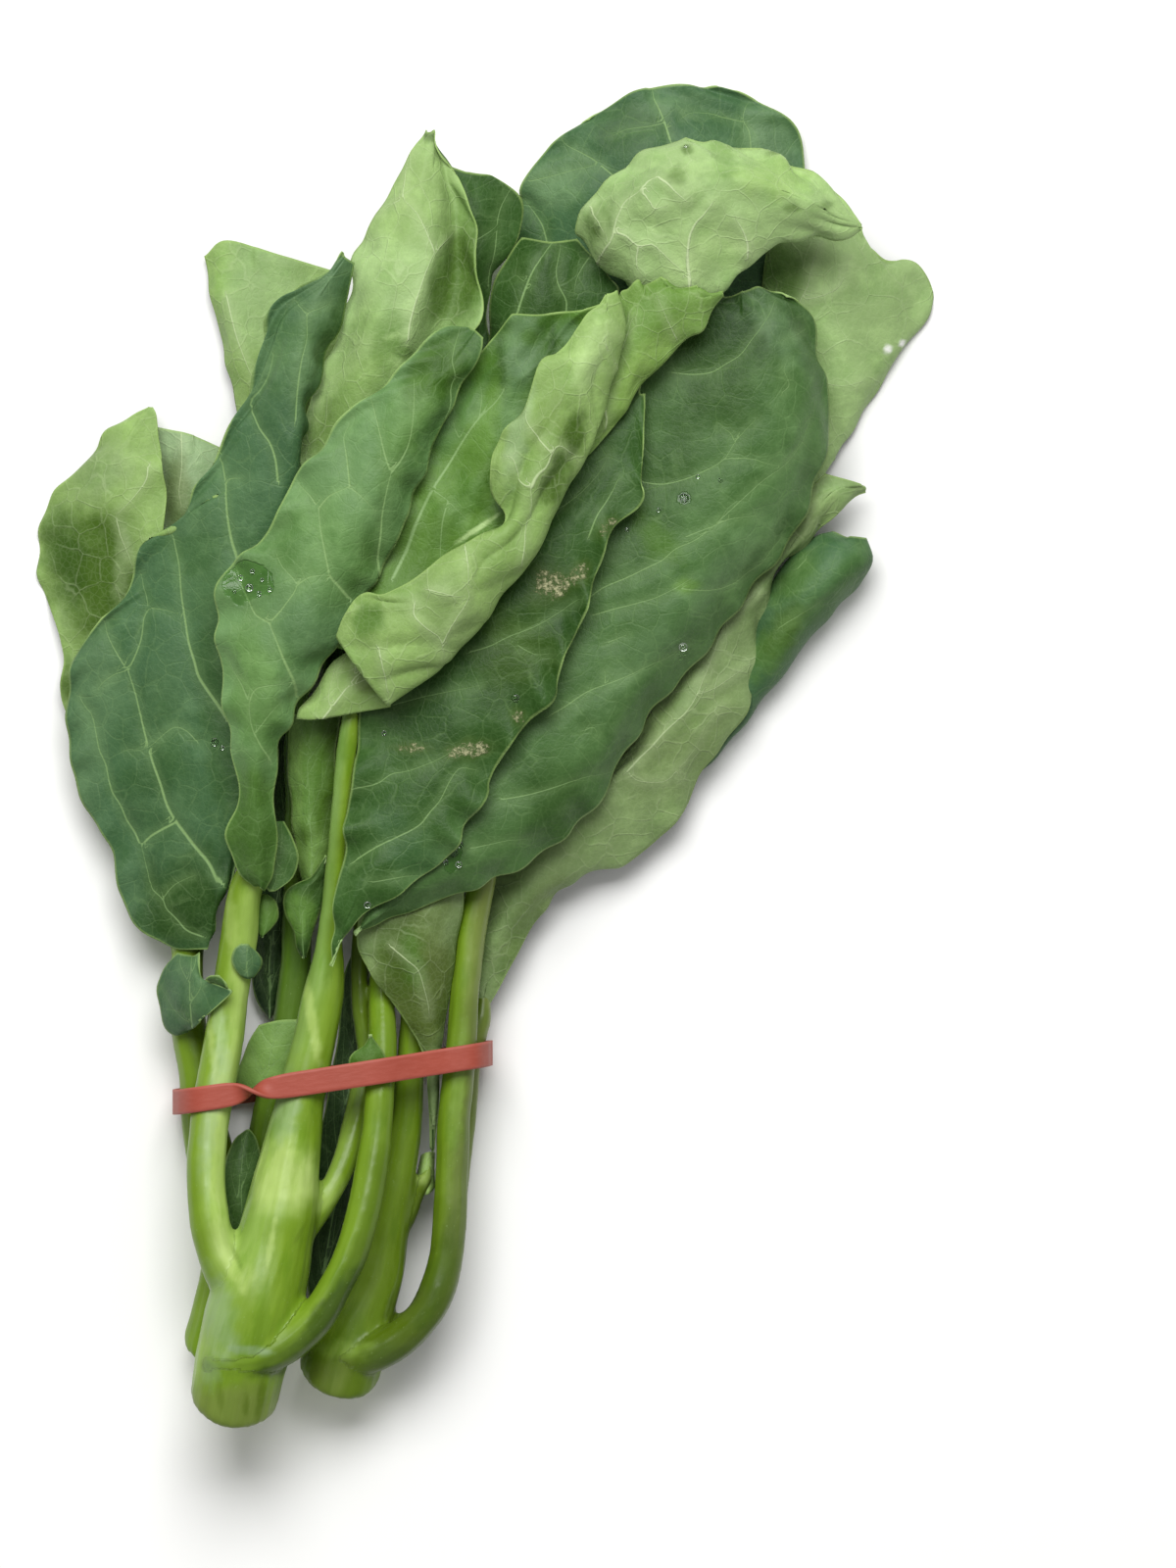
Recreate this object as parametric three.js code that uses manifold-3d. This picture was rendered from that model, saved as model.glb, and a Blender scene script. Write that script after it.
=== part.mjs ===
// Chinese broccoli (gai lan) bunch: three cut stalks with their petioles, their leaf blades and
// small side leaves, held together by one rubber band and lying on a flat surface.
//
// Millimetres, +Z up. The bunch lies along +Y with its cut ends at -Y, the surface is z = 0, and
// the origin is under the middle of the bunch.
import * as THREE from 'three';
import { mergeVertices } from 'three/addons/utils/BufferGeometryUtils.js';
import Module from 'manifold-3d';

const wasm = await Module();
wasm.setup();

// Driving dimensions.
const BLADE_THICKNESS = 1.1;
const BLADE_ROWS = 10; // cells from the base of a blade to its tip
const BLADE_COLUMNS = 5; // cells from one margin to the other
const SMALL_BLADE_ROWS = 5;
const SMALL_BLADE_COLUMNS = 3;
const STALK_SIDES = 12;
const PETIOLE_SIDES = 8;
const RINGS_PER_POINT = 1.25; // rings along a stem for each of its points
const BAND_WIDTH = 6.4;
const BAND_THICKNESS = 1;
const BAND_MIDDLE = [-40, -83]; // x and y where the band crosses the bunch
const BAND_SLOPE = 0.155; // how much y the band gains for each millimetre of x
const BAND_STEPS = 56;

// How the shapes are worked out.
const PROBE = 0.01; // share of a curve either side of a point that gives its direction there
const BAND_PROBE = 0.004;
const MERGE_TOLERANCE = 1e-4; // mm
const RING_INNER = 2; // radii of the plain ring that becomes the band
const RING_OUTER = 3;

const COLOURS = {
  upper: { color: 0x4f7d51, roughness: 0.5 },
  under: { color: 0x93b06f, roughness: 0.6 },
  stalk: { color: 0x8db04a, roughness: 0.4 },
  band: { color: 0xb0584c, roughness: 0.55 },
};

const group = new THREE.Group();

/** Adds one named piece with the finish of its kind. */
function addPiece(name, geometry, kind) {
  const material = new THREE.MeshStandardMaterial({ ...COLOURS[kind], metalness: 0 });
  const mesh = new THREE.Mesh(geometry, material);
  mesh.name = name;
  group.add(mesh);
}

/** A smooth curve through the points, of any number of components, at t from 0 to 1. */
function along(points, t, closed = false) {
  const count = points.length;
  const spans = closed ? count : count - 1;
  const place = t * spans;
  const span = Math.min(Math.floor(place), spans - 1);
  const at = (index) => {
    if (closed) return points[(index + count) % count];
    if (index < 0) return points[0].map((value, axis) => 2 * value - points[1][axis]);
    if (index < count) return points[index];
    return points[count - 1].map((value, axis) => 2 * value - points[count - 2][axis]);
  };
  const near = [at(span - 1), at(span), at(span + 1), at(span + 2)];
  return near[0].map((_, axis) => catmullRom(place - span, ...near.map((point) => point[axis])));
}

/** The Catmull-Rom blend of four values, between the second and the third. */
function catmullRom(t, before, start, end, after) {
  const leave = (end - before) / 2;
  const arrive = (after - start) / 2;
  const square = t * t;
  const cube = t * square;
  return (
    (2 * start - 2 * end + leave + arrive) * cube +
    (-3 * start + 3 * end - 2 * leave - arrive) * square +
    leave * t +
    start
  );
}

/** Keeps only positions and joins vertices that meet, so that the shape is one closed body. */
function closedBody(geometry) {
  geometry.deleteAttribute('normal');
  geometry.deleteAttribute('uv');
  return mergeVertices(geometry, MERGE_TOLERANCE);
}

/** Moves every vertex of a closed body with place(vertex), which returns its new position. */
function reshape(geometry, place) {
  const positions = geometry.attributes.position;
  for (let index = 0; index < positions.count; index += 1) {
    const vertex = new THREE.Vector3().fromBufferAttribute(positions, index);
    positions.setXYZ(index, ...place(vertex));
  }
  return geometry;
}

/** The point of a blade at s across it and t along it. */
function bladePoint(rails, s, t) {
  const across = rails.map((rail) => along(rail, t));
  return new THREE.Vector3(...along(across, s));
}

/**
 * A leaf blade: a thin slab that follows its rails. Each rail runs from the base of the blade to
 * its tip, and the rails go from its left margin to its right one as seen from above.
 */
function bladeGeometry(rails, columns, rows) {
  const slab = closedBody(new THREE.BoxGeometry(1, 1, 1, columns, rows, 1));
  return reshape(slab, ({ x, y, z }) => {
    const s = THREE.MathUtils.clamp(x + 0.5, 0, 1);
    const t = THREE.MathUtils.clamp(y + 0.5, 0, 1);
    const across = bladePoint(rails, Math.min(s + PROBE, 1), t);
    across.sub(bladePoint(rails, Math.max(s - PROBE, 0), t));
    const upward = bladePoint(rails, s, Math.min(t + PROBE, 1));
    upward.sub(bladePoint(rails, s, Math.max(t - PROBE, 0)));
    const normal = across.cross(upward).normalize();
    return bladePoint(rails, s, t).addScaledVector(normal, z * BLADE_THICKNESS);
  });
}

/** One stem: a round tube through points of x, y, z and radius, with flat ends. */
function stemGeometry(points, sides) {
  const rings = Math.round((points.length - 1) * RINGS_PER_POINT);
  const tube = closedBody(new THREE.CylinderGeometry(1, 1, 1, sides, rings));
  return reshape(tube, ({ x, y, z }) => {
    const t = THREE.MathUtils.clamp(y + 0.5, 0, 1);
    const [px, py, pz, radius] = along(points, t);
    const [ax, ay, az] = along(points, Math.min(t + PROBE, 1));
    const [bx, by, bz] = along(points, Math.max(t - PROBE, 0));
    const forward = new THREE.Vector3(ax - bx, ay - by, az - bz).normalize();
    const side = new THREE.Vector3(0, 0, 1).cross(forward).normalize();
    const up = forward.clone().cross(side);
    return new THREE.Vector3(px, py, pz)
      .addScaledVector(up, x * radius)
      .addScaledVector(side, z * radius);
  });
}

/** Joins stems that grow out of each other into one body. */
function joinStems(geometries) {
  const solids = geometries.map((geometry) => {
    const mesh = { numProp: 3, vertProperties: geometry.attributes.position.array };
    return new wasm.Manifold(new wasm.Mesh({ ...mesh, triVerts: geometry.index.array }));
  });
  const joined = solids.reduce((sum, solid) => sum.add(solid)).getMesh();
  const geometry = new THREE.BufferGeometry();
  const positions = new THREE.BufferAttribute(joined.vertProperties, joined.numProp);
  geometry.setAttribute('position', positions);
  geometry.setIndex(new THREE.BufferAttribute(joined.triVerts, 1));
  return geometry;
}

/** The rubber band: a flat strip that runs around the stems, seen along Y as a closed outline. */
function bandGeometry(outline) {
  const profile = [
    new THREE.Vector2(RING_INNER, -0.5),
    new THREE.Vector2(RING_INNER, 0.5),
    new THREE.Vector2(RING_OUTER, 0.5),
    new THREE.Vector2(RING_OUTER, -0.5),
    new THREE.Vector2(RING_INNER, -0.5),
  ];
  const ringMiddle = (RING_INNER + RING_OUTER) / 2;
  const ring = closedBody(new THREE.LatheGeometry(profile, BAND_STEPS));
  return reshape(ring, ({ x, y, z }) => {
    const turn = (Math.atan2(x, z) / (2 * Math.PI) + 1) % 1;
    const [px, pz] = along(outline, turn, true);
    const [ax, az] = along(outline, (turn + BAND_PROBE) % 1, true);
    const [bx, bz] = along(outline, (turn - BAND_PROBE + 1) % 1, true);
    const outward = new THREE.Vector2(az - bz, bx - ax).normalize();
    const offset = (Math.hypot(x, z) - ringMiddle) * BAND_THICKNESS;
    const placeX = px + outward.x * offset;
    const placeY = BAND_MIDDLE[1] + (placeX - BAND_MIDDLE[0]) * BAND_SLOPE + y * BAND_WIDTH;
    return [placeX, placeY, pz + outward.y * offset];
  });
}

// Leaf blades, each with the side that it turns up: the dark upper side or the pale underside.
const BLADES = {
  // The dark leaf that lies outermost on the left.
  left_outer_leaf: {
    up: 'upper',
    rails: [
      [[-71, -50, 20], [-81, -49, 17], [-90, -43, 14], [-93, -31, 12], [-98, -20, 11],
        [-105, -5, 11], [-107, 10, 12], [-106, 19, 13], [-102, 27, 15], [-98, 34, 17],
        [-91, 41, 19], [-88, 54, 22], [-79, 57, 24], [-72, 70, 27], [-64, 84, 29],
        [-59, 95, 30], [-56, 109, 31], [-52, 117, 32], [-41, 121, 34], [-36, 128, 35]],
      [[-70, -47, 20], [-68, -33, 24], [-66, -13, 26], [-64, 9, 27], [-63, 32, 29],
        [-58, 57, 32], [-49, 87, 36], [-35, 127, 36]],
      [[-69, -45, 20], [-67, -34, 23], [-59, -20, 23], [-53, -3, 23], [-52, 17, 23],
        [-51, 40, 25], [-51, 62, 27], [-48, 77, 29], [-44, 92, 31], [-38, 107, 32],
        [-34, 119, 34], [-33, 126, 35]],
    ],
  },
  // The narrow-based leaf in front of it.
  front_left_leaf: {
    up: 'upper',
    rails: [
      [[-59, -34, 33], [-63, -29, 35], [-66, -21, 37], [-63, -13, 38], [-63, -3, 39],
        [-65, 8, 40], [-67, 20, 41], [-68, 32, 42], [-68, 42, 42], [-64, 49, 43],
        [-57, 54, 44], [-52, 62, 45], [-48, 71, 46], [-42, 77, 46], [-37, 85, 47],
        [-25, 94, 47], [-17, 103, 47], [-10, 109, 46], [-4, 109, 45]],
      [[-57, -34, 36], [-58, -25, 40], [-58, -13, 42], [-58, 2, 44], [-55, 17, 47],
        [-48, 32, 49], [-41, 47, 50], [-32, 62, 51], [-23, 77, 51], [-15, 91, 50],
        [-7, 101, 48], [-2, 108, 46]],
      [[-56, -35, 33], [-53, -29, 36], [-53, -15, 38], [-53, 0, 39], [-49, 9, 41],
        [-42, 21, 42], [-35, 32, 44], [-26, 46, 45], [-20, 60, 46], [-13, 77, 46],
        [-8, 89, 46], [-1, 102, 46], [0, 106, 46]],
    ],
  },
  pointed_leaf: {
    up: 'under',
    rails: [
      [[-49, 20, 18], [-51, 34, 20], [-50, 52, 21], [-49, 72, 23], [-45, 89, 26], [-41, 100, 28],
        [-35, 114, 29], [-34, 127, 29], [-28, 136, 30], [-23, 146, 30], [-17, 155, 29],
        [-14, 159, 28]],
      [[-47.5, 20, 19], [-48, 34, 23], [-45, 52, 27], [-40, 72, 32], [-35, 89, 36], [-30, 105, 38],
        [-23, 120, 38], [-20, 134, 36], [-17, 145, 33], [-14, 158, 29]],
      [[-46.5, 20, 19], [-43, 34, 22], [-37, 52, 27], [-28, 75, 32], [-22, 95, 35], [-19, 109, 34],
        [-16, 119, 33], [-13, 130, 32], [-13, 142, 32], [-13, 152, 30], [-13, 159, 29]],
      [[-45, 20, 18], [-38, 34, 20], [-31, 52, 25], [-23, 72, 29], [-16, 89, 32], [-6, 105, 35],
        [0, 111, 36], [-2, 120, 34], [-2, 130, 33], [-4, 141, 32], [-8, 147, 30],
        [-11, 154, 29], [-13, 159, 28]],
    ],
  },
  dark_tip_leaf: {
    up: 'upper',
    rails: [
      [[-9, 60, 18], [-15, 76, 17], [-16, 97, 17], [-17, 122, 18], [-15, 135, 19], [-12, 145, 19],
        [-10, 151, 19]],
      [[-7, 60, 19.5], [-7, 77, 19.5], [-7, 97, 20], [-6, 117, 22], [-4, 130, 23], [-3, 140, 22],
        [-4, 149, 20]],
      [[-5, 60, 18], [1, 76, 17], [2, 97, 17], [1, 117, 17], [5, 126, 17], [9, 133, 17], [10, 139, 17],
        [8, 144, 17], [2, 148, 18]],
    ],
  },
  back_left_leaf: {
    up: 'under',
    rails: [
      [[-52, 10, 12], [-57, 22, 11], [-60, 42, 9], [-62, 67, 8], [-64, 83, 7], [-63, 87, 6], [-65, 94, 5],
        [-68, 107, 4], [-71, 121, 3], [-72, 128, 3]],
      [[-51, 10, 12.5], [-52, 24, 12.5], [-53, 42, 12], [-56, 72, 11], [-59, 96, 10], [-63, 107, 9],
        [-66, 120, 7], [-66, 132, 5]],
      [[-49.5, 10, 12.5], [-47, 24, 11], [-45, 42, 10], [-45, 72, 9], [-47, 92, 8], [-49, 107, 7],
        [-51, 120, 7], [-52, 128, 6]],
      [[-48, 10, 12], [-42, 22, 9], [-37, 42, 7], [-35, 72, 6], [-35, 92, 5], [-36, 110, 5], [-38, 124, 4]],
    ],
  },
  far_left_leaf: {
    up: 'under',
    rails: [
      [[-90, -12, 6.5], [-98, -3, 7], [-105, 7, 7], [-109, 17, 6], [-108, 26, 5],
        [-111, 36, 3], [-115, 45, 1.5], [-115, 50, 0.8], [-114, 59, 0.8], [-111, 67, 2],
        [-105, 72, 4], [-98, 82, 5], [-91, 87, 6], [-86, 89, 6]],
      [[-87.5, -12, 7], [-90, -2, 7], [-95, 10, 7], [-99, 27, 6], [-102, 42, 6], [-102, 55, 7],
        [-100, 67, 10], [-93, 79, 10], [-86, 89, 7]],
      [[-85, -12, 7], [-82, -3, 9], [-81, 7, 11], [-80, 22, 12], [-81, 37, 13], [-82, 52, 13],
        [-82, 66, 13], [-83, 77, 11], [-84, 86, 8], [-85, 89, 7]],
    ],
  },
  grey_left_leaf: {
    up: 'under',
    rails: [
      [[-74, -2, 3.5], [-80, 8, 3], [-84, 27, 1.5], [-86, 52, 0.7], [-85, 72, 0.7], [-84, 84, 1.5]],
      [[-72, -3, 4], [-72, 10, 5], [-74, 27, 5], [-76, 52, 5], [-76, 70, 5], [-75, 82, 4]],
      [[-70, -2, 3.5], [-64, 8, 3], [-62, 27, 3], [-63, 52, 3], [-65, 67, 3], [-66, 78, 2.5]],
    ],
  },
  // The leaf in the middle, folded over itself along its right side.
  centre_folded_leaf: {
    up: 'upper',
    rails: [
      [[-37, 27, 41], [-30, 42, 41], [-23, 56, 41], [-17, 70, 41], [-11, 85, 40],
        [-3, 99, 40], [8, 112, 42]],
      [[-33, 25, 42], [-25, 40, 42.5], [-16, 52, 43], [-7, 67, 43], [0, 85, 43], [8, 99, 43],
        [15, 112, 44]],
      [[-27, 17, 43], [-16, 27, 43], [-3, 40, 43], [7, 55, 43.5], [14, 70, 44],
        [20, 85, 44.5], [25, 97, 44.5], [28, 107, 44.5], [28, 114, 45.5]],
      [[-24, 12, 49], [-16, 19, 49], [-8, 24, 49], [1, 33, 49], [5, 41, 49], [13, 49, 49],
        [19, 61, 49], [25, 73, 49], [30, 82, 49], [32, 94, 49], [36, 103, 49],
        [37, 109, 49], [34, 118, 49]],
      [[-31, 20, 54], [-18, 30, 57], [-6, 40, 58], [5, 52, 57], [13, 67, 57], [18, 82, 58],
        [24, 95, 58], [29, 105, 57], [33, 117, 53]],
      [[-38, 30, 53], [-35, 36, 54], [-31, 41, 55], [-25, 41, 56], [-16, 46, 56],
        [-6, 53, 56], [2, 57, 55], [5, 61, 54], [2, 67, 54], [2, 75, 55], [5, 82, 55],
        [10, 87, 56], [14, 99, 56], [19, 103, 56], [24, 109, 55], [31, 117, 53]],
    ],
  },
  under_fold_leaf: {
    up: 'under',
    rails: [
      [[-48, 9, 38], [-47, 12, 38], [-43, 17, 38], [-39, 23, 38], [-35, 26, 38],
        [-27, 32, 38]],
      [[-41, 9, 41], [-37, 14, 42], [-33, 19, 41], [-28, 24, 39.5], [-22, 30, 39]],
      [[-24, 12, 41.2], [-23, 16, 41], [-20, 20, 40.6], [-16, 26, 40.4]],
    ],
  },
  back_centre_leaf: {
    up: 'upper',
    rails: [
      [[11, 42, 18], [4, 56, 18], [0, 77, 19], [1, 102, 20], [2, 115, 21], [3, 121, 21], [6, 127, 21],
        [10, 132, 20]],
      [[13, 42, 20], [12, 57, 22], [10, 77, 24], [12, 105, 26], [14, 117, 27], [15, 126, 26],
        [17, 131, 24]],
      [[15, 42, 18], [25, 56, 18], [28, 77, 19], [30, 100, 21], [33, 112, 23], [35, 119, 23],
        [32, 122, 23], [28, 127, 23], [24, 132, 22]],
    ],
  },
  top_arched_leaf: {
    up: 'under',
    rails: [
      [[22, 132, 30], [24, 137, 32], [27, 142, 34], [30, 145, 34], [37, 151, 34],
        [40, 154, 34], [48, 158, 33], [52, 159, 33], [56, 157, 34], [69, 155, 33],
        [76, 154, 33], [85, 148, 33], [92, 141, 33], [96, 135, 33]],
      [[29, 120, 31], [33, 127, 36], [39, 136, 41], [49, 144, 44], [60, 145, 45],
        [73, 144, 43], [84, 139, 39], [96, 135, 34]],
      [[37, 109, 30], [42, 111, 33], [47, 115, 35], [53, 118, 36], [60, 121, 37],
        [67, 125, 37], [73, 129, 37], [80, 131, 36], [89, 132, 35], [96, 134, 34]],
    ],
  },
  strip_leaf: {
    up: 'under',
    rails: [
      [[17, 75, 39], [20, 85, 39.5], [25, 100, 40], [33, 117, 42], [39, 121, 42],
        [48, 120, 43], [55, 119, 43], [61, 118, 42]],
      [[23, 75, 40.5], [30, 85, 41.5], [39, 100, 44], [48, 110, 45], [61, 116, 43]],
      [[27, 77, 39.5], [30, 81, 39.5], [37, 89, 39.5], [45, 99, 39.5], [53, 106, 40],
        [57, 109, 41], [60, 115, 42]],
    ],
  },
  top_back_leaf: {
    up: 'upper',
    rails: [
      [[13, 38, 6], [7, 58, 6], [9, 82, 6], [12, 107, 5], [10, 120, 4], [8, 132, 4], [9, 141, 4],
        [10, 147, 5], [18, 157, 6], [27, 163, 7]],
      [[15, 37, 8], [19, 58, 9], [27, 82, 10], [37, 107, 12], [40, 125, 13], [40, 140, 13],
        [41, 155, 12], [42, 171, 8]],
      [[17, 38, 6], [30, 58, 6], [49, 82, 5], [67, 107, 5], [80, 125, 4], [82, 139, 3], [82, 149, 3],
        [80, 160, 3], [72, 167, 4], [61, 171.2, 5]],
    ],
  },
  // The largest dark leaf, on the right.
  right_dark_leaf: {
    up: 'upper',
    rails: [
      [[-33, -46, 35], [-26, -33, 34], [-16, -15, 32], [-6, 2, 31], [4, 20, 31],
        [14, 37, 30], [23, 57, 29], [29, 77, 28], [37, 95, 28], [49, 109, 28],
        [61, 117, 28]],
      [[-33, -46, 36], [-21, -34, 37], [-6, -16, 35], [9, 7, 34], [22, 30, 33],
        [32, 52, 32], [39, 72, 31], [49, 92, 31], [57, 107, 30], [63, 117, 29]],
      [[-32, -45, 35], [-13, -34, 35], [9, -20, 34], [24, -3, 34], [37, 17, 34],
        [52, 42, 34], [64, 62, 34], [74, 82, 33], [77, 100, 32], [74, 112, 30],
        [70, 119, 28]],
      [[-31, -45, 34], [-13, -38, 31], [9, -29, 28], [24, -18, 26], [32, -8, 25],
        [39, 6, 24], [53, 22, 23], [67, 41, 22], [79, 56, 21], [87, 77, 20], [89, 89, 20],
        [86, 101, 21], [83, 113, 22], [77, 117, 25]],
    ],
  },
  centre_dark_leaf: {
    up: 'upper',
    rails: [
      [[-39, -54, 36], [-38, -43, 37], [-36, -28, 38], [-33, -8, 38], [-31, 11, 36],
        [-21, 27, 36], [-8, 45, 36], [5, 62, 36], [19, 80, 34.5], [32, 90, 34], [40, 94, 34]],
      [[-39, -54, 37], [-32, -36, 41], [-22, -20, 42], [-13, -3, 41.5], [-3, 17, 41],
        [7, 35, 41], [17, 52, 40.5], [27, 70, 38.5], [35, 85, 36.5], [40, 92, 35]],
      [[-39, -54, 37], [-33, -43, 39], [-23, -36, 40], [-14, -30, 40], [-6, -21, 40],
        [1, -11, 40], [2, -7, 40], [5, 0, 41], [12, 8, 41], [18, 14, 41], [19, 21, 41],
        [25, 34, 41], [29, 46, 40.5], [34, 57, 39.5], [40, 65, 38.5], [40, 71, 38],
        [41, 85, 36.5], [41, 92, 35]],
    ],
  },
  right_light_leaf: {
    up: 'under',
    rails: [
      [[43, 11, 7.5], [44, 26, 8], [51, 46, 8], [59, 67, 8], [65, 85, 8], [69, 105, 8], [70, 120, 8],
        [75, 128, 8]],
      [[44.5, 11, 8.5], [50, 26, 9.5], [60, 46, 10.5], [72, 67, 10.5], [80, 87, 10.5], [82, 110, 10],
        [85, 122, 9], [89, 132, 8]],
      [[46, 11, 8.5], [54, 26, 9.5], [66, 46, 10], [82, 66, 7], [94, 87, 5], [102, 102, 6], [106, 115, 7],
        [103, 124, 6], [97, 133, 6]],
      [[47.5, 11, 7.5], [58, 27, 9], [70, 46, 9.5], [82, 58, 9], [88, 68, 5], [90, 77, 2.5], [97, 86, 1.2],
        [100, 92, 0.8], [108, 104, 0.6], [115, 114, 0.6], [113, 122, 0.8], [108, 126, 2],
        [102, 127, 3], [98, 131, 5]],
    ],
  },
  lower_right_leaf: {
    up: 'under',
    rails: [
      [[1, -65, 10], [2, -53, 12], [4, -33, 14], [17, -23, 15], [32, -5, 15], [47, 17, 15],
        [59, 37, 15], [69, 52, 15], [77, 62, 15], [87, 72, 14]],
      [[1, -65, 11], [4, -50, 14], [13, -33, 17], [29, -11, 19], [43, 1, 18], [49, 8, 18],
        [59, 26, 17], [70, 41, 16.5], [80, 55, 16], [89, 67, 15], [97, 69, 13]],
      [[2, -65, 10], [5, -58, 10], [10, -48, 10], [17, -38, 10], [25, -31, 10],
        [36, -28, 9], [45, -22, 9], [52, -13, 9], [58, -1, 10], [65, 7, 11], [69, 17, 11],
        [70, 29, 12], [73, 39, 12], [76, 49, 12], [82, 53, 12], [87, 58, 12],
        [94, 65, 12], [98, 67, 11]],
    ],
  },
  rolled_right_leaf: {
    up: 'upper',
    rails: [
      [[42, -8, 4], [52, 0, 4], [60, 9, 4], [64, 20, 5], [68, 37, 5], [75, 50, 5],
        [86, 57, 5]],
      [[44, -9, 5], [55, -4, 6], [65, 9, 7], [72, 20, 8], [78, 32, 9], [84, 43, 9],
        [89, 49, 8], [91, 55, 6]],
      [[46, -11, 4], [58, -1, 3], [63, 4, 2], [69, 12, 1], [77, 24, 1], [88, 35, 1],
        [94, 43, 1], [98, 49, 2], [97, 52, 3], [93, 56, 4]],
    ],
  },
  // The leaf on the right stalk that rises between its stems.
  stem_leaf: {
    up: 'under',
    rails: [
      [[-14, -101, 15], [-14, -88, 18], [-15, -78, 20.5], [-20, -68, 23.5], [-27, -59, 27],
        [-32, -50, 29], [-32, -40, 29]],
      [[-13, -102, 15.5], [-13, -88, 19], [-13, -78, 21], [-14, -68, 24.5], [-16, -58, 28],
        [-17, -48, 30], [-17, -39, 30]],
      [[-12.5, -101, 15], [-12, -89, 17], [-12, -79, 18], [-10, -66, 20], [-8, -54, 21.5],
        [-6, -43, 23], [-5, -34, 24]],
    ],
  },
  under_leaf: {
    up: 'upper',
    rails: [
      [[-30, -27, 6], [-38, -8, 4], [-41, 7, 3], [-41, 37, 2], [-38, 67, 2], [-28, 92, 3], [-16, 105, 4]],
      [[-27, -28, 7], [-25, -8, 7], [-23, 7, 6], [-18, 37, 6], [-13, 67, 6], [-10, 87, 6], [-8, 104, 5]],
      [[-24, -27, 6], [-16, -8, 4.5], [-11, 7, 3.5], [-3, 37, 3], [0, 67, 3], [0, 87, 3], [-2, 104, 4]],
    ],
  },
};

// Small side leaves, near the tops of the stems and at the stalks.
const SMALL_BLADES = {
  small_left_leaf: {
    up: 'upper',
    rails: [
      [[-76, -71, 17], [-80, -71, 16], [-83, -63, 15], [-83, -59, 15], [-80, -53, 17],
        [-77, -50, 18]],
      [[-75, -70, 22], [-75, -65, 25], [-75, -59, 26], [-75, -54, 24], [-75, -50, 19]],
      [[-72, -68, 26], [-68, -65, 30], [-64, -61, 32], [-70, -58, 30], [-72, -55, 27],
        [-73, -51, 21]],
    ],
  },
  round_side_leaf: {
    up: 'upper',
    rails: [
      [[-63, -56, 30], [-64, -53, 30.2], [-63, -50, 30.4]],
      [[-60.5, -57, 29.6], [-60, -52.6, 30.8], [-60.5, -48.5, 30]],
      [[-58, -56, 27.5], [-56.5, -53, 28], [-57.5, -49.5, 28.2]],
    ],
  },
  half_side_leaf: {
    up: 'upper',
    rails: [
      [[-57, -46, 23], [-56, -41, 23], [-56, -36, 24]],
      [[-56, -46.5, 24.5], [-54.5, -41, 25], [-54.5, -35.8, 25.5]],
      [[-55, -45.5, 23.5], [-52.7, -41, 23.5], [-53, -37, 24.5]],
    ],
  },
  lobe_leaf: {
    up: 'upper',
    rails: [
      [[-52.4, -34, 32.5], [-52.4, -28, 33.5], [-52.2, -23, 34]],
      [[-50.5, -34.5, 32.5], [-50, -28.5, 33.5], [-50, -22.8, 34]],
      [[-49.5, -32.5, 31.5], [-47.8, -28, 32], [-48.5, -24, 32.5]],
    ],
  },
  dark_back_leaf: {
    up: 'upper',
    rails: [
      [[-59, -61, 4], [-60, -53, 4], [-61, -43, 4], [-59, -30, 5], [-55, -20, 5]],
      [[-55, -62, 7], [-55, -53, 8], [-54, -43, 8], [-52, -33, 8], [-50, -20, 8]],
      [[-53, -62, 5], [-49, -53, 5], [-48, -40, 5], [-46, -30, 5], [-45, -20, 5]],
    ],
  },
  pale_back_leaf: {
    up: 'upper',
    rails: [
      [[-62, -82, 2], [-62, -78, 2], [-61, -73, 2], [-58, -69, 2.5]],
      [[-56, -81, 3.5], [-56, -78, 3.5], [-55, -73, 4], [-54, -68, 4]],
      [[-49, -80, 2], [-48, -77, 2], [-48, -73, 2.5], [-48, -68, 3]],
    ],
  },
  olive_leaf: {
    up: 'upper',
    rails: [
      [[-47, -28, 24], [-48, -16, 24], [-49, -8, 24], [-50, 1, 25], [-48, 10, 27]],
      [[-44, -29, 26], [-44, -18, 28], [-44, -6, 29], [-44, 4, 30], [-44, 14, 31]],
      [[-40, -27, 24], [-38, -18, 25], [-38, -6, 25], [-38, 4, 26], [-37, 14, 28]],
    ],
  },
  curled_dark_leaf: {
    up: 'upper',
    rails: [
      [[-46, -51, 25], [-48, -45, 25], [-51, -39, 25], [-51, -36, 26], [-49, -34, 27]],
      [[-45, -51, 27], [-45, -45, 29], [-45, -38, 31], [-45, -30, 30]],
      [[-44, -50, 26], [-43, -44, 27], [-42, -36, 28], [-41, -31, 28], [-40, -27, 27]],
    ],
  },
  shoot_leaf: {
    up: 'under',
    rails: [
      [[-17, -113, 8.5], [-17, -108, 8.5], [-16, -103, 8.5]],
      [[-15, -113, 12], [-15, -108, 12], [-14.5, -102, 11]],
      [[-13, -111, 9], [-13, -107, 9], [-13, -102, 9]],
    ],
  },
  low_dark_leaf: {
    up: 'upper',
    rails: [
      [[-65, -121, 18], [-65, -114, 18], [-64, -105, 17], [-63, -98, 16.5]],
      [[-62, -121, 19], [-62, -114, 19], [-61, -105, 18.5], [-61, -98, 18]],
      [[-60, -120, 17], [-59, -114, 17.5], [-58, -105, 17.5], [-58, -98, 17]],
    ],
  },
  band_leaf: {
    up: 'upper',
    rails: [
      [[-34, -77.5, 32], [-32, -75, 32.5], [-29, -72, 33]],
      [[-30, -77.3, 34], [-29, -75, 34.5], [-28, -71.5, 34]],
      [[-25, -76.5, 32], [-26, -74, 32.5], [-28, -71.8, 33]],
    ],
  },
};

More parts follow.
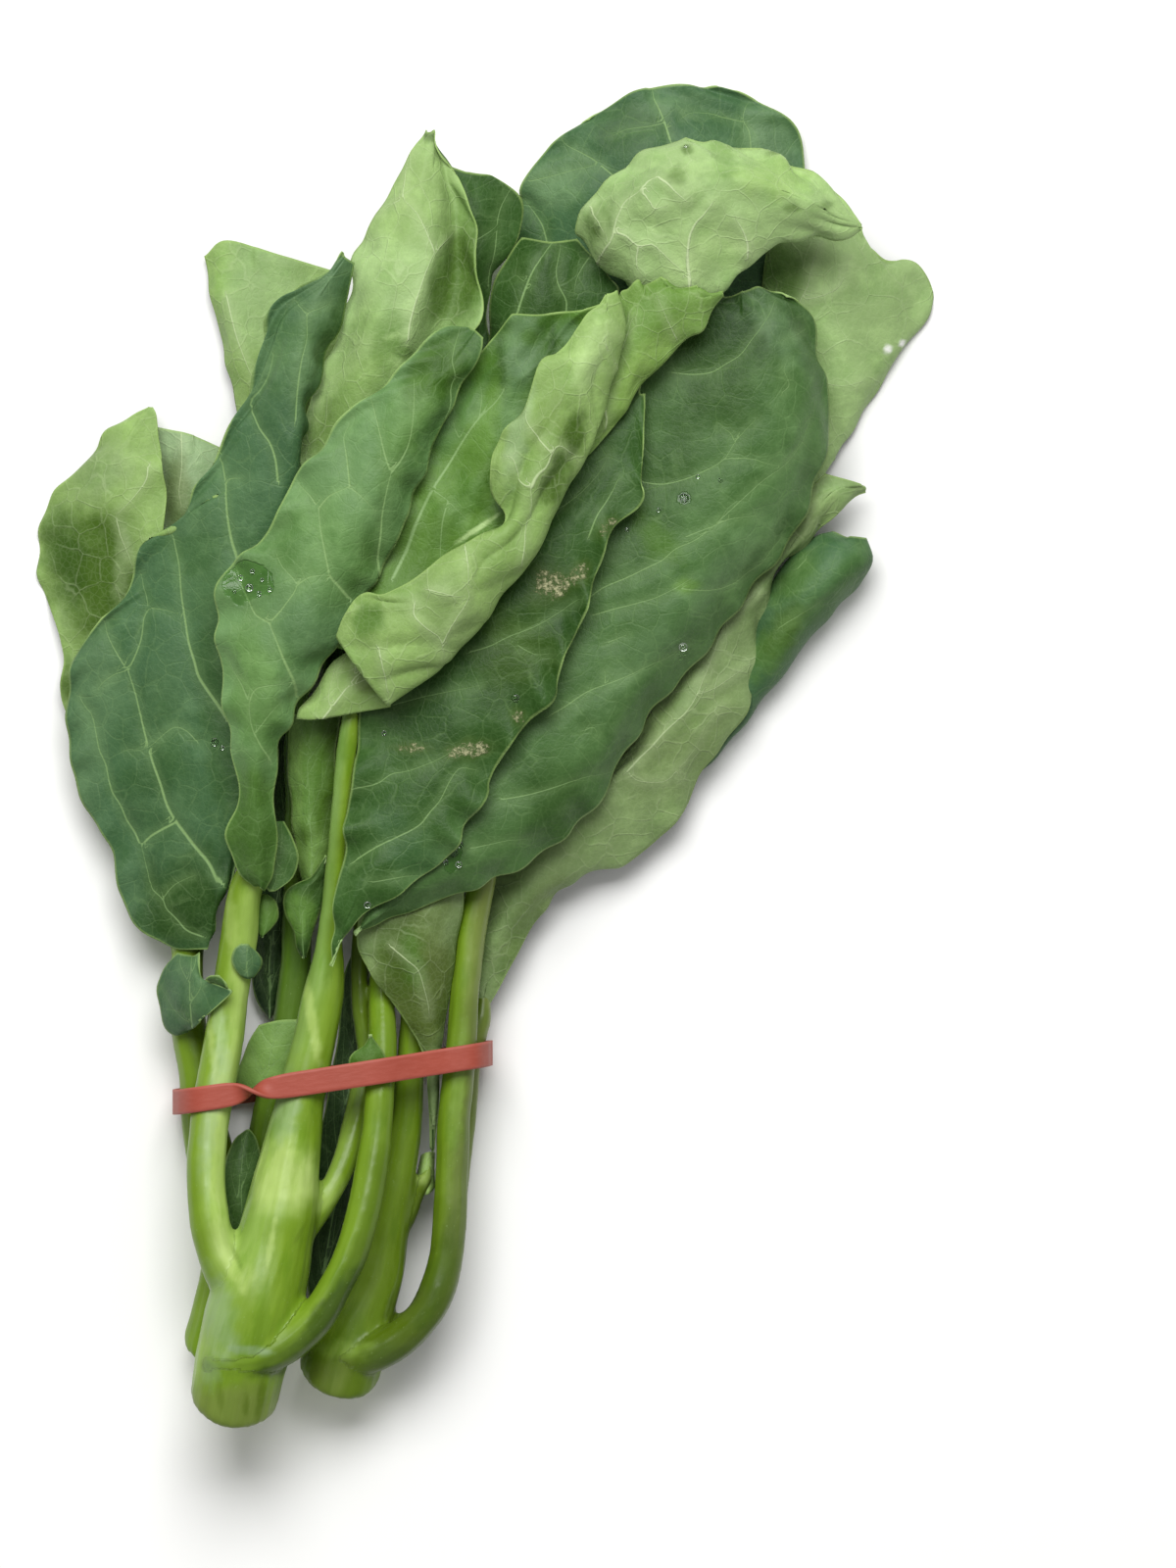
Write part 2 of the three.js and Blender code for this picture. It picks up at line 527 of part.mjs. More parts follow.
// The three stalks. Each is one body: the stalk, from its cut end up, and the petioles that grow
// out of it. Every point is x, y, z and radius.
const STALKS = {
  front_stalk: [
    [[-64, -170.3, 27, 10.6], [-63, -164, 27.5, 11], [-62, -156, 28, 11.3],
      [-59, -144, 28.5, 11.8], [-56, -133, 28.5, 11], [-53, -123, 28, 9.8],
      [-50, -109, 27.5, 8.2], [-48, -95, 27, 7.1], [-45, -85, 26.5, 5.9],
      [-43, -73, 26, 5.2], [-40, -60, 26, 4.8], [-39, -48, 27.5, 3.8], [-38, -33, 30, 2.7],
      [-37, -15, 33, 2.4], [-35, 0, 35, 2.4], [-33, 17, 36, 2.2]],
    [[-59, -144, 29, 6], [-67, -130, 30, 5.6], [-70, -118, 30, 5.2], [-71, -105, 29, 5.1],
      [-69, -88, 26, 5], [-66, -73, 24, 4.9], [-63, -55, 23.5, 4.7], [-61, -40, 26, 4.3],
      [-59, -30, 28, 3.4], [-58, -21, 31, 2.6]],
    [[-65, -154, 36, 3.6], [-58, -152, 38, 4], [-49, -148, 38.5, 4.2], [-41, -140, 37, 4.2],
      [-35, -130, 35, 4.1], [-31, -118, 33, 4], [-28, -103, 30.5, 4], [-27, -85, 28, 4],
      [-26, -73, 23.5, 3.8], [-26, -60, 18.5, 3.5], [-24, -45, 18, 3.2], [-17, -30, 21, 2.8]],
    [[-51, -130, 26, 3.2], [-43, -119, 24, 3], [-36, -108, 21, 2.8], [-31, -95, 18, 2.8],
      [-29, -83, 15.5, 2.8], [-31, -70, 14, 2.8], [-32, -55, 13, 2.6], [-31, -42, 12, 2.4],
      [-28, -31, 8, 2]],
  ],
  right_stalk: [
    [[-38, -165, 10.6, 10.2], [-37, -159, 11.2, 10.9], [-35, -148, 11.6, 11],
      [-31, -135, 12.5, 9.8], [-26, -123, 14, 8], [-23, -111, 14.5, 6.4], [-20, -98, 15, 5],
      [-19, -85, 15.5, 4.1], [-18, -70, 15.5, 3.8], [-18, -58, 15.5, 3.5],
      [-17, -45, 15.5, 3.3], [-14, -33, 15, 3], [-6, -13, 13, 2.8], [4, 17, 10, 2.6],
      [14, 34, 7.5, 2]],
    [[-37, -150, 17, 4.8], [-27, -151, 20, 4.8], [-18, -147, 21, 4.6], [-12, -137, 21, 4.4],
      [-9, -125, 20.5, 4.3], [-8, -112, 20, 4.4], [-8, -98, 20, 4.3], [-7, -83, 20, 4.2],
      [-5, -68, 20, 4], [-3, -53, 19.5, 3.8], [-1, -40, 19, 3.5], [0, -30, 20, 3.3],
      [3, -19, 22, 2.8]],
    [[-32, -150, 10, 4.4], [-18, -146, 9.5, 4.2], [-12, -135, 9.5, 4], [-9, -123, 9.5, 4],
      [-7.5, -108, 9.5, 4], [-5.5, -93, 9.5, 3.8], [-4.2, -80, 9.5, 3.6],
      [-2.2, -71, 10, 3.3], [0, -67, 10.5, 3]],
    [[-18, -78, 13, 3.4], [-16, -65, 10, 3.2], [-10, -51, 8, 3.2], [-2, -36, 7, 3],
      [17, -15, 7, 2.8], [35, 2, 6.5, 2.6], [43, 8.5, 7.5, 2]],
  ],
  back_stalk: [
    [[-69, -155, 8.9, 8.4], [-67, -141, 9, 8.8], [-66, -128, 9.1, 8.2],
      [-68, -113, 9.4, 6.8], [-72, -95, 9.8, 5.7], [-73.5, -81, 10, 5.1], [-76, -69, 10, 4.7],
      [-76, -54, 12, 4.3], [-74, -40, 14, 4.1], [-70, -25, 15.5, 3.6]],
    [[-63, -130, 9, 4.6], [-58, -116, 8.7, 4.4], [-56, -103, 8.8, 4.3], [-54, -90, 9.2, 4.3],
      [-51, -78, 10, 4.3], [-49, -65, 11, 4.2], [-48, -48, 12.5, 4], [-48, -28, 13, 3.4],
      [-48, -8, 13, 3], [-50, 7, 12.5, 2.2]],
    [[-48, -35, 13, 3], [-46, -15, 16, 2.8], [-46, 5, 18, 2.4], [-47, 18, 18.5, 2]],
    [[-76, -55, 11, 3.4], [-79, -40, 8.5, 3.2], [-84, -23, 7, 2.8], [-87.5, -14, 6.5, 2]],
    [[-75, -45, 12, 3], [-73, -25, 7.5, 2.8], [-72, -5, 4.2, 2]],
  ],
};

// The rubber band's path around the stems at its middle line, as x and z.
const BAND_PATH = [
  [-79.4, 10], [-78.8, 19], [-76.9, 27.3], [-73, 32.7], [-66, 34], [-57, 34],
  [-46, 33.9], [-36, 34], [-27, 33.6], [-19, 30.8], [-10, 27.6], [-2.8, 26],
  [0.4, 20.8], [1.3, 14.5], [1.7, 9.5], [-0.2, 5], [-5, 3.8], [-14, 3.6], [-24, 3.5],
  [-40, 3.2], [-56, 3], [-66, 2.8], [-73.5, 2.7], [-78.5, 5],
];

for (const [name, { up, rails }] of Object.entries(BLADES)) {
  addPiece(name, bladeGeometry(rails, BLADE_COLUMNS, BLADE_ROWS), up);
}

for (const [name, { up, rails }] of Object.entries(SMALL_BLADES)) {
  addPiece(name, bladeGeometry(rails, SMALL_BLADE_COLUMNS, SMALL_BLADE_ROWS), up);
}

for (const [name, [main, ...petioles]] of Object.entries(STALKS)) {
  const branches = petioles.map((points) => stemGeometry(points, PETIOLE_SIDES));
  addPiece(name, joinStems([stemGeometry(main, STALK_SIDES), ...branches]), 'stalk');
}

addPiece('rubber_band', bandGeometry(BAND_PATH), 'band');

export default group;
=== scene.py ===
"""Chinese broccoli (gai lan) bunch: the visible model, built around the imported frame.

Three cut stalks with their petioles, leaf blades that show one side or the other, a flat rubber
band and drops of water. Lengths are millimetres until a mesh is written.
"""

import logging
import math
from dataclasses import dataclass, field
from enum import Enum
from typing import Any

import bmesh
import bpy
import numpy as np
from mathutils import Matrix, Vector, noise
from mathutils.kdtree import KDTree


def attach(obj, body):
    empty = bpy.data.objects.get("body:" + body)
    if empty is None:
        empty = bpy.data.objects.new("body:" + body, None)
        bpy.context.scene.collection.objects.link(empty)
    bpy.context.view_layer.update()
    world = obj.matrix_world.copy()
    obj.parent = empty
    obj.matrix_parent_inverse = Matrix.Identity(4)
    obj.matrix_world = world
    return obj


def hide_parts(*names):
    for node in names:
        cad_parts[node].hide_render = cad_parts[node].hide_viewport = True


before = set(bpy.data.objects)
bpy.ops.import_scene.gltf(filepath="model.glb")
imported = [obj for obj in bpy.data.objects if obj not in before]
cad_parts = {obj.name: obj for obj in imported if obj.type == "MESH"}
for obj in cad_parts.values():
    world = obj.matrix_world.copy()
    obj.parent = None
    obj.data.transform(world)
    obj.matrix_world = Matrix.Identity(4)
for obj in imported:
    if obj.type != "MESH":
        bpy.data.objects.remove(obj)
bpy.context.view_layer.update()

MM = 0.001
BODY = "root"

GRID = 0.95  # mm between the lines of a blade's mesh
VOXEL = 0.75  # mm, the grain of a stalk's mesh
THICKEST = 2.4  # mm, where a midrib stands out of a blade
BLADE_SHARE = 0.26  # of THICKEST, between the veins
MARGIN_SHARE = 0.16
CLEARANCE = 0.15  # mm between a blade and the surface it lies on
FAR = 99.0  # mm, further than any vein matters
VEIN_REACH = 12.0  # mm, how far from a vein its distance is worked out
VEIN_TAPER = 0.65  # the share of a vein's width that it loses by its end
VEIN_STEP = 0.9  # mm between the points of a vein's course
SIDE_VEIN_GAP = 13.0  # mm between a plain pattern's side veins
WAVE_LENGTH = 15.0  # mm from one wave of a margin to the next
WAVE_REACH = 6.0  # mm, how far in from a margin its waves go
ROLL_REACH = 14.0  # mm, how far in a margin's slower rise and fall goes
FRILL_REACH = 5.0  # mm, how far in the unevenness of an outline goes
SWELL = 0.9  # mm, how far a whole blade rises and falls
CREASE_GAPS = (9.0, 22.0)  # mm between creases, across a blade and along it
VALLEY = 3.4  # mm from a vein to where the flesh beside it stands up
TALLEST_RIDGE = 1.6  # mm, the most that a vein adds to a blade's thickness
NARROW = 24.0  # mm, the width under which a blade has less relief

SEGMENTS = 40  # around a stem
RING_GAP = 1.5  # mm between the rings of a stem
CUT_BEVEL = (0.16, 1.3)  # the share that a cut edge is drawn in, and over how many mm
FAR_TAPER = (0.45, 4.0)  # the share that a far end is drawn in, and over how many mm
SLANT_LENGTH = 16.0  # mm over which a slanted cut fades out
CUT_DEPTH = 12.0  # mm, the most that a cut face is behind the stem's start
SMOOTHINGS = 7  # of a stalk, once its stems are joined
GRAIN_SHIFT = 37.0  # mm between the grain of one stem and that of the next
RIB_RATES = (0.55, 0.55, 0.03)  # ribs per mm to a stem's side, upwards and along it
RIB_HEIGHT = 0.22  # mm
KNOB_HEIGHT = 0.35  # mm, how far a stalk swells here and there
HOLLOW = 0.7  # mm, how far a cut face is sunk in its middle

log = logging.getLogger("gai_lan")


class Side(Enum):
    """The side of a leaf blade."""

    UPPER = "upper"
    UNDER = "under"


class Tint(Enum):
    """Colours of leaf, stalk and band, as red, green and blue on a screen. Some of the dark and pale ones
    are also laid on as painted shade and painted highlights.
    """

    NIGHT = (10, 42, 7)
    DEEP = (36, 67, 11)
    DARK = (46, 79, 27)
    FOREST = (66, 98, 49)
    BLUE_GREEN = (60, 93, 58)
    SAGE = (78, 111, 70)
    WAXY = (92, 121, 81)
    MID_GREEN = (93, 127, 76)
    FRESH = (80, 116, 40)
    MOSS = (64, 100, 23)
    OLIVE = (56, 85, 7)
    DRAB = (77, 95, 35)
    LEAFY = (106, 139, 65)
    LIME = (138, 171, 84)
    PALE = (141, 169, 108)
    SOFT = (124, 153, 84)
    MILKY = (157, 184, 120)
    GREY_GREEN = (116, 139, 87)
    GREY_PALE = (133, 158, 114)
    VEIN_DARK = (125, 156, 98)
    VEIN_PALE = (183, 200, 153)
    EDGE = (148, 177, 102)
    SCAR = (177, 175, 136)
    STALK_PALE = (165, 190, 102)
    STALK = (137, 168, 69)
    STALK_DEEP = (108, 139, 31)
    STALK_DARK = (73, 95, 7)
    STALK_SHADE = (51, 75, 7)
    OLIVE_STALK = (113, 129, 61)
    PITH = (185, 198, 146)
    RUBBER = (149, 62, 44)
    RUBBER_PALE = (177, 95, 82)
    FLOOR = (238, 238, 236)

    def linear(self, alpha: float = 1.0) -> tuple[float, float, float, float]:
        """Returns the colour as light, the way that shaders want it."""
        light = [(c / 255 / 12.92) if c < 11 else ((c / 255 + 0.055) / 1.055) ** 2.4 for c in self.value]
        return (*light, alpha)


class Mark(Enum):
    """Something that lies on a blade, each with its own place in the mark attribute."""

    SCAR = 0
    WET = 1


def along(points: np.ndarray, places: np.ndarray, closed: bool = False) -> np.ndarray:
    """Walks a smooth curve through points.

    Args:
        points: The points, first axis first. Each may be of any shape.
        places: Shares of the curve's spans, from 0 to 1.
        closed: Whether the last point leads back to the first.

    Returns:
        The point at each place, first axis first.
    """
    if closed:
        near = np.concatenate([points[-1:], points, points[:2]])
        spans = len(points)
    else:
        before, after = 2 * points[:1] - points[1:2], 2 * points[-1:] - points[-2:-1]
        near = np.concatenate([before, points, after])
        spans = len(points) - 1
    spot = np.asarray(places, float) * spans
    span = np.minimum(spot.astype(int), spans - 1)
    t = (spot - span).reshape(-1, *[1] * (points.ndim - 1))
    a, b, c, d = (near[span + step] for step in range(4))
    leave, arrive = (c - a) / 2, (d - b) / 2
    bend = (2 * b - 2 * c + leave + arrive) * t + 3 * (c - b) - 2 * leave - arrive
    return bend * t * t + leave * t + b


def lines(text: str) -> tuple[tuple[tuple[float, ...], ...], ...]:
    """Reads a table of lines, parted by slashes, of points, parted by commas, of numbers."""
    return tuple(
        tuple(tuple(float(number) for number in point.split()) for point in line.split(","))
        for line in text.split("/")
    )


def unit(vectors: np.ndarray) -> np.ndarray:
    """Returns the vectors, each one long."""
    return vectors / np.maximum(np.linalg.norm(vectors, axis=-1, keepdims=True), 1e-9)


def length_of(course: np.ndarray) -> float:
    """Returns the length of a course of points."""
    return np.linalg.norm(np.diff(course, axis=0), axis=1).sum()


def walked_along(course: np.ndarray) -> np.ndarray:
    """Returns how far along a course each of its points is."""
    return np.concatenate([[0], np.linalg.norm(np.diff(course, axis=0), axis=1).cumsum()])


def rough(places: np.ndarray, size: float, seed: float = 0.0) -> np.ndarray:
    """Soft irregularity.

    Args:
        places: Points in millimetres.
        size: Roughly how far apart its bumps are.
        seed: Moves to another part of the pattern.

    Returns:
        A number from about -1 to 1 for each point.
    """
    spots = places.reshape(-1, 3) / size + seed
    values = [noise.noise(Vector(spot)) for spot in spots]
    return np.array(values).reshape(places.shape[:-1])


def bell(distance: np.ndarray, reach: np.ndarray | float) -> np.ndarray:
    """Returns 1 at no distance, falling softly towards 0 beyond the reach."""
    return np.exp(-((distance / reach) ** 2))


def eased(share: np.ndarray) -> np.ndarray:
    """Returns a share from 0 to 1 that starts and ends softly."""
    return share**2 * (3 - 2 * share)


def within(shares: np.ndarray, span: tuple[float, float]) -> np.ndarray:
    """Returns which shares are in a span, its ends included."""
    return (shares >= span[0]) & (shares <= span[1])


@dataclass(frozen=True)
class Vein:
    """A vein that can be seen on a blade, as points of x and y.

    Attributes:
        width: Its width where it starts. It tapers towards its end.
        points: Its course.
        span: The share of the blade's width that carries it, for a blade folded over itself.
    """

    width: float
    points: tuple[tuple[float, float], ...]
    span: tuple[float, float] = (0.0, 1.0)


def drawn(text: str, span: tuple[float, float] = (0.0, 1.0)) -> tuple[Vein, ...]:
    """Reads veins from a table whose lines each start with a width.

    Args:
        text: The table, in the form that lines() reads.
        span: The share of the blade's width that carries them.

    Returns:
        The veins.
    """
    return tuple(Vein(first[0], points, span) for (first, *points) in lines(text))


@dataclass(frozen=True)
class Patch:
    """A soft-edged spot on a blade or stalk, as seen from above.

    Attributes:
        what: The colour that it has, which on some patches is painted shade or a painted highlight, or
            the mark that it leaves.
        centre: Its x and y.
        reach: How far it goes to each side, and along its own direction.
        turn: Degrees that its direction is turned from +Y towards -X.
        strength: How fully it covers.
        back: Whether it is on the side that the blade turns down.
        span: The share of the blade's width that carries it.
    """

    what: Tint | Mark
    centre: tuple[float, float]
    reach: tuple[float, float]
    turn: float = 0.0
    strength: float = 1.0
    back: bool = False
    span: tuple[float, float] = (0.0, 1.0)

    def cover(self, places: np.ndarray) -> np.ndarray:
        """Returns how fully it covers each point, from 0 to 1."""
        angle = math.radians(self.turn)
        x, y = places[..., 0] - self.centre[0], places[..., 1] - self.centre[1]
        sideways = x * math.cos(angle) + y * math.sin(angle)
        lengthways = y * math.cos(angle) - x * math.sin(angle)
        away = np.hypot(sideways / self.reach[0], lengthways / self.reach[1])
        small = min(self.reach)
        away += 0.4 * rough(places, max(2.5, small * 0.9), self.turn)
        away += 0.2 * rough(places, max(1.2, small * 0.35))
        return self.strength * eased(np.clip(1.5 - away, 0, 1))


def painted(text: str) -> tuple[Patch, ...]:
    """Reads patches from a table.

    Args:
        text: Entries split by commas. Each holds a name, x, y, two reaches, a turn and a
            strength, then the span, and "back" for the side that the blade turns down.

    Returns:
        The patches.
    """
    patches = []
    for entry in text.split(","):
        name, *words = entry.split()
        back = words[-1] == "back"
        x, y, wide, long, turn, strength, *span = map(float, words[: len(words) - back])
        what = Mark[name] if name in Mark.__members__ else Tint[name]
        span = tuple(span) or (0.0, 1.0)
        patches.append(Patch(what, (x, y), (wide, long), turn, strength, back, span))
    return tuple(patches)


class Mesh:
    """A piece's mesh while it is being made, with its named values at each vertex."""

    def __init__(self, name: str) -> None:
        """Starts an empty mesh for the piece of that name."""
        self.name = name
        self.bm = bmesh.new()

    def place(self, places: np.ndarray) -> None:
        """Moves the vertices, in order, to places in millimetres."""
        for vert, spot in zip(self.bm.verts, places.reshape(-1, 3) * MM):
            vert.co = spot

    def vectors(self, name: str, values: np.ndarray) -> None:
        """Stores a named vector at each vertex, in order."""
        layer = self.bm.verts.layers.float_vector.new(name)
        for vert, value in zip(self.bm.verts, values.reshape(-1, 3)):
            vert[layer] = value

    def colours(self, name: str, values: np.ndarray) -> None:
        """Stores a named colour at each vertex, in order."""
        layer = self.bm.verts.layers.float_color.new(name)
        for vert, value in zip(self.bm.verts, values.reshape(-1, 4)):
            vert[layer] = value

    def weights(self, values: np.ndarray) -> None:
        """Stores each vertex's weight in the first vertex group."""
        layer = self.bm.verts.layers.deform.verify()
        for vert, value in zip(self.bm.verts, values.reshape(-1)):
            vert[layer][0] = float(value)

    def finish(self, materials: list[bpy.types.Material]) -> bpy.types.Object:
        """Writes the mesh to an object at the origin, smooth, with its materials."""
        data = bpy.data.meshes.new(self.name)
        for face in self.bm.faces:
            face.smooth = True
        self.bm.to_mesh(data)
        self.bm.free()
        for material in materials:
            data.materials.append(material)
        piece = bpy.data.objects.new(self.name, data)
        bpy.context.scene.collection.objects.link(piece)
        return piece


def settle(piece: bpy.types.Object, slot: str, *nodes: str) -> None:
    """Ties a finished piece to the frame and reports it.

    Args:
        piece: The finished piece.
        slot: The name of the material slot for the piece; not used.
        nodes: The frame's nodes that it stands for.
    """
    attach(piece, BODY)
    if nodes:
        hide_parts(*nodes)
    log.info("%s: %d vertices", piece.name, len(piece.data.vertices))


class Signal:
    """A number that flows through a material, so that its maths reads as arithmetic."""

    def __init__(self, finish: "Finish", socket: bpy.types.NodeSocket) -> None:
        """Wraps an output socket of that finish."""
        self.finish = finish
        self.socket = socket

    def reckon(self, operation: str, *numbers: Any) -> "Signal":
        """Returns the result of a Math node's operation on the numbers."""
        settings = {"operation": operation}
        return self.finish.number("ShaderNodeMath", settings, dict(enumerate(numbers)))

    def __add__(self, other: Any) -> "Signal":
        """Returns the sum."""
        return self.reckon("ADD", self, other)

    def __sub__(self, other: Any) -> "Signal":
        """Returns the difference."""
        return self.reckon("SUBTRACT", self, other)

    def __rsub__(self, other: Any) -> "Signal":
        """Returns the difference, taken from the other."""
        return self.reckon("SUBTRACT", other, self)

    def __mul__(self, other: Any) -> "Signal":
        """Returns the product."""
        return self.reckon("MULTIPLY", self, other)

    def __abs__(self) -> "Signal":
        """Returns the size without its sign."""
        return self.reckon("ABSOLUTE", self)

    __radd__ = __add__
    __rmul__ = __mul__

    def rise(self, low: Any, high: Any) -> "Signal":
        """Returns 0 up to low and 1 from high on, turning smoothly between them."""
        settings = {"interpolation_type": "SMOOTHSTEP"}
        inputs = {"Value": self, "From Min": low, "From Max": high}
        return self.finish.number("ShaderNodeMapRange", settings, inputs)

    def fall(self, low: Any, high: Any) -> "Signal":
        """Returns 1 up to low and 0 from high on, turning smoothly between them."""
        return 1 - self.rise(low, high)


class Finish:
    """A material while it is being made."""

    def __init__(self, name: str) -> None:
        """Starts a material of that name."""
        self.material = bpy.data.materials.new(name)
        self.material.use_nodes = True
        self.tree = self.material.node_tree
        self.skin = self.tree.nodes["Principled BSDF"]

    def node(self, kind: str, settings: dict[str, Any], inputs: dict[Any, Any]) -> bpy.types.Node:
        """Adds one node.

        Args:
            kind: The node's type.
            settings: Its settings, which are made first.
            inputs: Numbers, colours or links for its inputs, by name or position.

        Returns:
            The node.
        """
        made = self.tree.nodes.new(kind)
        for name, value in settings.items():
            setattr(made, name, value)
        for key, value in inputs.items():
            self.feed(made.inputs[key], value)
        return made

    def feed(self, entry: bpy.types.NodeSocket, value: Any) -> None:
        """Links or sets one input socket."""
        if isinstance(value, Signal):
            value = value.socket
        if isinstance(value, bpy.types.NodeSocket):
            self.tree.links.new(value, entry)
        elif isinstance(value, Tint):
            entry.default_value = value.linear()
        else:
            entry.default_value = value

    def number(
        self, kind: str, settings: dict[str, Any], inputs: dict[Any, Any], output: Any = 0
    ) -> Signal:
        """Adds one node and returns one of its outputs as a signal."""
        return Signal(self, self.node(kind, settings, inputs).outputs[output])

    def attribute(self, name: str, output: str = "Vector") -> bpy.types.NodeSocket:
        """Returns a named value of the piece's own mesh."""
        return self.node("ShaderNodeAttribute", {"attribute_name": name}, {}).outputs[output]

    def object_place(self) -> bpy.types.NodeSocket:
        """Returns the place on the piece in millimetres."""
        return self.dim(self.node("ShaderNodeTexCoord", {}, {}).outputs["Object"], 1 / MM)

    def split(self, vector: bpy.types.NodeSocket) -> list[Signal]:
        """Returns a vector's three numbers."""
        made = self.node("ShaderNodeSeparateXYZ", {}, {0: vector})
        return [Signal(self, socket) for socket in made.outputs]

    def join(self, x: Any, y: Any, z: Any) -> bpy.types.NodeSocket:
        """Returns three numbers as a vector."""
        return self.node("ShaderNodeCombineXYZ", {}, {0: x, 1: y, 2: z}).outputs[0]

    def noise(self, vector: Any, size: float, detail: float = 2.0, roughness: float = 0.5) -> Signal:
        """Returns soft noise about 0.5, whose bumps are about size apart."""
        inputs = {"Vector": vector, "Scale": 1 / size, "Detail": detail, "Roughness": roughness}
        return self.number("ShaderNodeTexNoise", {}, inputs, "Fac")

    def net(self, vector: Any, size: float) -> Signal:
        """Returns the distance to the nearest thread of an irregular net with meshes of that size."""
        settings, inputs = {"feature": "DISTANCE_TO_EDGE"}, {"Vector": vector, "Scale": 1 / size}
        return self.number("ShaderNodeTexVoronoi", settings, inputs) * size

    def warp(self, vector: Any, size: float, amount: float) -> bpy.types.NodeSocket:
        """Returns a vector pushed about by noise of that size."""
        inputs = {"Vector": vector, "Scale": 1 / size}
        push = self.node("ShaderNodeTexNoise", {}, inputs).outputs["Color"]
        scaled = self.vector("MULTIPLY_ADD", push, (amount,) * 3, (-amount / 2,) * 3)
        return self.vector("ADD", vector, scaled)

    def vector(self, operation: str, *vectors: Any) -> bpy.types.NodeSocket:
        """Returns the result of a Vector Math node's operation."""
        made = self.node("ShaderNodeVectorMath", {"operation": operation}, dict(enumerate(vectors)))
        return made.outputs[0]

    def dim(self, colour: Any, amount: Any) -> bpy.types.NodeSocket:
        """Returns a colour made brighter or darker."""
        inputs = {0: colour, "Scale": amount}
        return self.node("ShaderNodeVectorMath", {"operation": "SCALE"}, inputs).outputs[0]

    def mix(self, share: Any, first: Any, second: Any) -> bpy.types.NodeSocket:
        """Returns the first colour with a share of the second over it."""
        made = self.node("ShaderNodeMix", {"data_type": "RGBA"}, {0: share, 6: first, 7: second})
        return made.outputs[2]

    def bump(self, height: Signal) -> bpy.types.NodeSocket:
        """Returns a normal that follows a height in millimetres."""
        return self.node("ShaderNodeBump", {}, {"Height": height, "Distance": MM}).outputs[0]

    def end(self, **inputs: Any) -> bpy.types.Material:
        """Sets the surface's own sockets, with spaces as underscores, and returns the material."""
        for name, value in inputs.items():
            self.feed(self.skin.inputs[name.replace("_", " ")], value)
        return self.material


@dataclass(frozen=True)
class LeafFinish:
    """One side of a leaf blade: flesh, its net of veins, its margin and what lies on it.

    Attributes:
        name: The material's name.
        paint: The attribute that holds the colour of the flesh.
        vein: The colour of its veins.
        threads: How strongly the finest veins show, between the others.
        relief: How far the veins stand out, or in if negative, in millimetres.
        bare: How much of it has lost its wax, which leaves it darker.
        roughness: How matt it is.
    """

    name: str
    paint: str
    vein: Tint
    threads: float
    relief: float
    bare: float
    roughness: float

    def material(self) -> bpy.types.Material:
        """Builds the material."""
        finish = Finish(self.name)
        place = finish.attribute("place")
        edge = finish.split(place)[2]
        flat = finish.object_place()
        side, near, width = finish.split(finish.attribute("vein"))
        scar, wet, _ = finish.split(finish.attribute("mark"))

        line = abs(side).fall(width * 0.15, width * 0.6) * near.fall(1.0, 1.8)
        line = line * (0.42 + width.rise(0.1, 0.9) * 0.58)
        shoulder = near.fall(0.4, 2.8)
        meshes = finish.net(finish.warp(flat, 7, 2.6), 7.5)
        threads = meshes.fall(0.03, 0.3) * finish.noise(flat, 12, 2).rise(0.3, 0.55)
        fine = finish.net(finish.warp(flat, 2, 0.9), 1.7).fall(0.02, 0.22)
        broad = finish.noise(flat, 26, 3)
        mottle = finish.noise(flat, 5, 4, 0.6)
        grain = finish.noise(flat, 0.7, 3, 0.65)

        colour = finish.dim(finish.attribute(self.paint, "Color"), 0.68 + broad * 0.44 + mottle * 0.2)
        bare = finish.noise(flat, 15, 4, 0.6).rise(0.5, 0.66) * self.bare
        colour = finish.mix(bare, colour, finish.vector("MULTIPLY", colour, (0.55, 0.72, 0.42)))
        waxed = finish.vector("MULTIPLY_ADD", colour, (1.12, 1.12, 1.1), (0.014, 0.016, 0.011))
        colour = finish.mix(finish.noise(flat, 10, 5, 0.65).rise(0.46, 0.66), colour, waxed)
        colour = finish.mix(shoulder * 0.12, colour, self.vein)
        colour = finish.mix(fine * 0.05 + threads * self.threads, colour, self.vein)
        colour = finish.mix(line * 0.9, colour, self.vein)
        colour = finish.dim(colour, 0.93 + grain * 0.14)
        colour = finish.mix(edge.fall(0.15, 0.75) * (0.3 + broad * 0.5), colour, Tint.EDGE)
        torn = (scar * finish.noise(flat, 1.3, 5, 0.8)).rise(0.4, 0.56)
        colour = finish.mix(scar * 0.3, colour, Tint.DRAB)
        colour = finish.mix(torn * 0.8, colour, Tint.SCAR)
        damp = wet.rise(0.45, 0.55)
        colour = finish.mix(damp * 0.6, colour, finish.vector("MULTIPLY", colour, (0.5, 0.75, 0.35)))

        height = (line * 0.5 + shoulder * 0.3) * self.relief + threads * 0.3 * self.relief - fine * 0.025
        pits = finish.noise(flat, 1.9, 3, 0.6)
        height = height + (grain * 0.05 + pits * 0.12 + mottle * 0.35 + torn * 0.12) * (1 - damp * 0.8)
        dull = self.roughness + mottle * 0.1 - line * 0.05 + torn * 0.3
        return finish.end(
            Base_Color=colour,
            Roughness=dull * (1 - damp * 0.75),
            Normal=finish.bump(height),
            IOR=1.3,
        )


class Palette:
    """The finishes, each made once."""

    def __init__(self) -> None:
        """Makes every finish."""
        upper = LeafFinish("leaf_upper", "upper", Tint.VEIN_DARK, 0.11, -0.16, bare=0.5, roughness=0.46)
        under = LeafFinish("leaf_under", "under", Tint.VEIN_PALE, 0.13, 0.3, bare=0.3, roughness=0.5)
        self.leaf = {Side.UPPER: upper.material(), Side.UNDER: under.material()}
        self.stalk = stalk_finish()
        self.rubber = rubber_finish()
        self.water = water_finish()


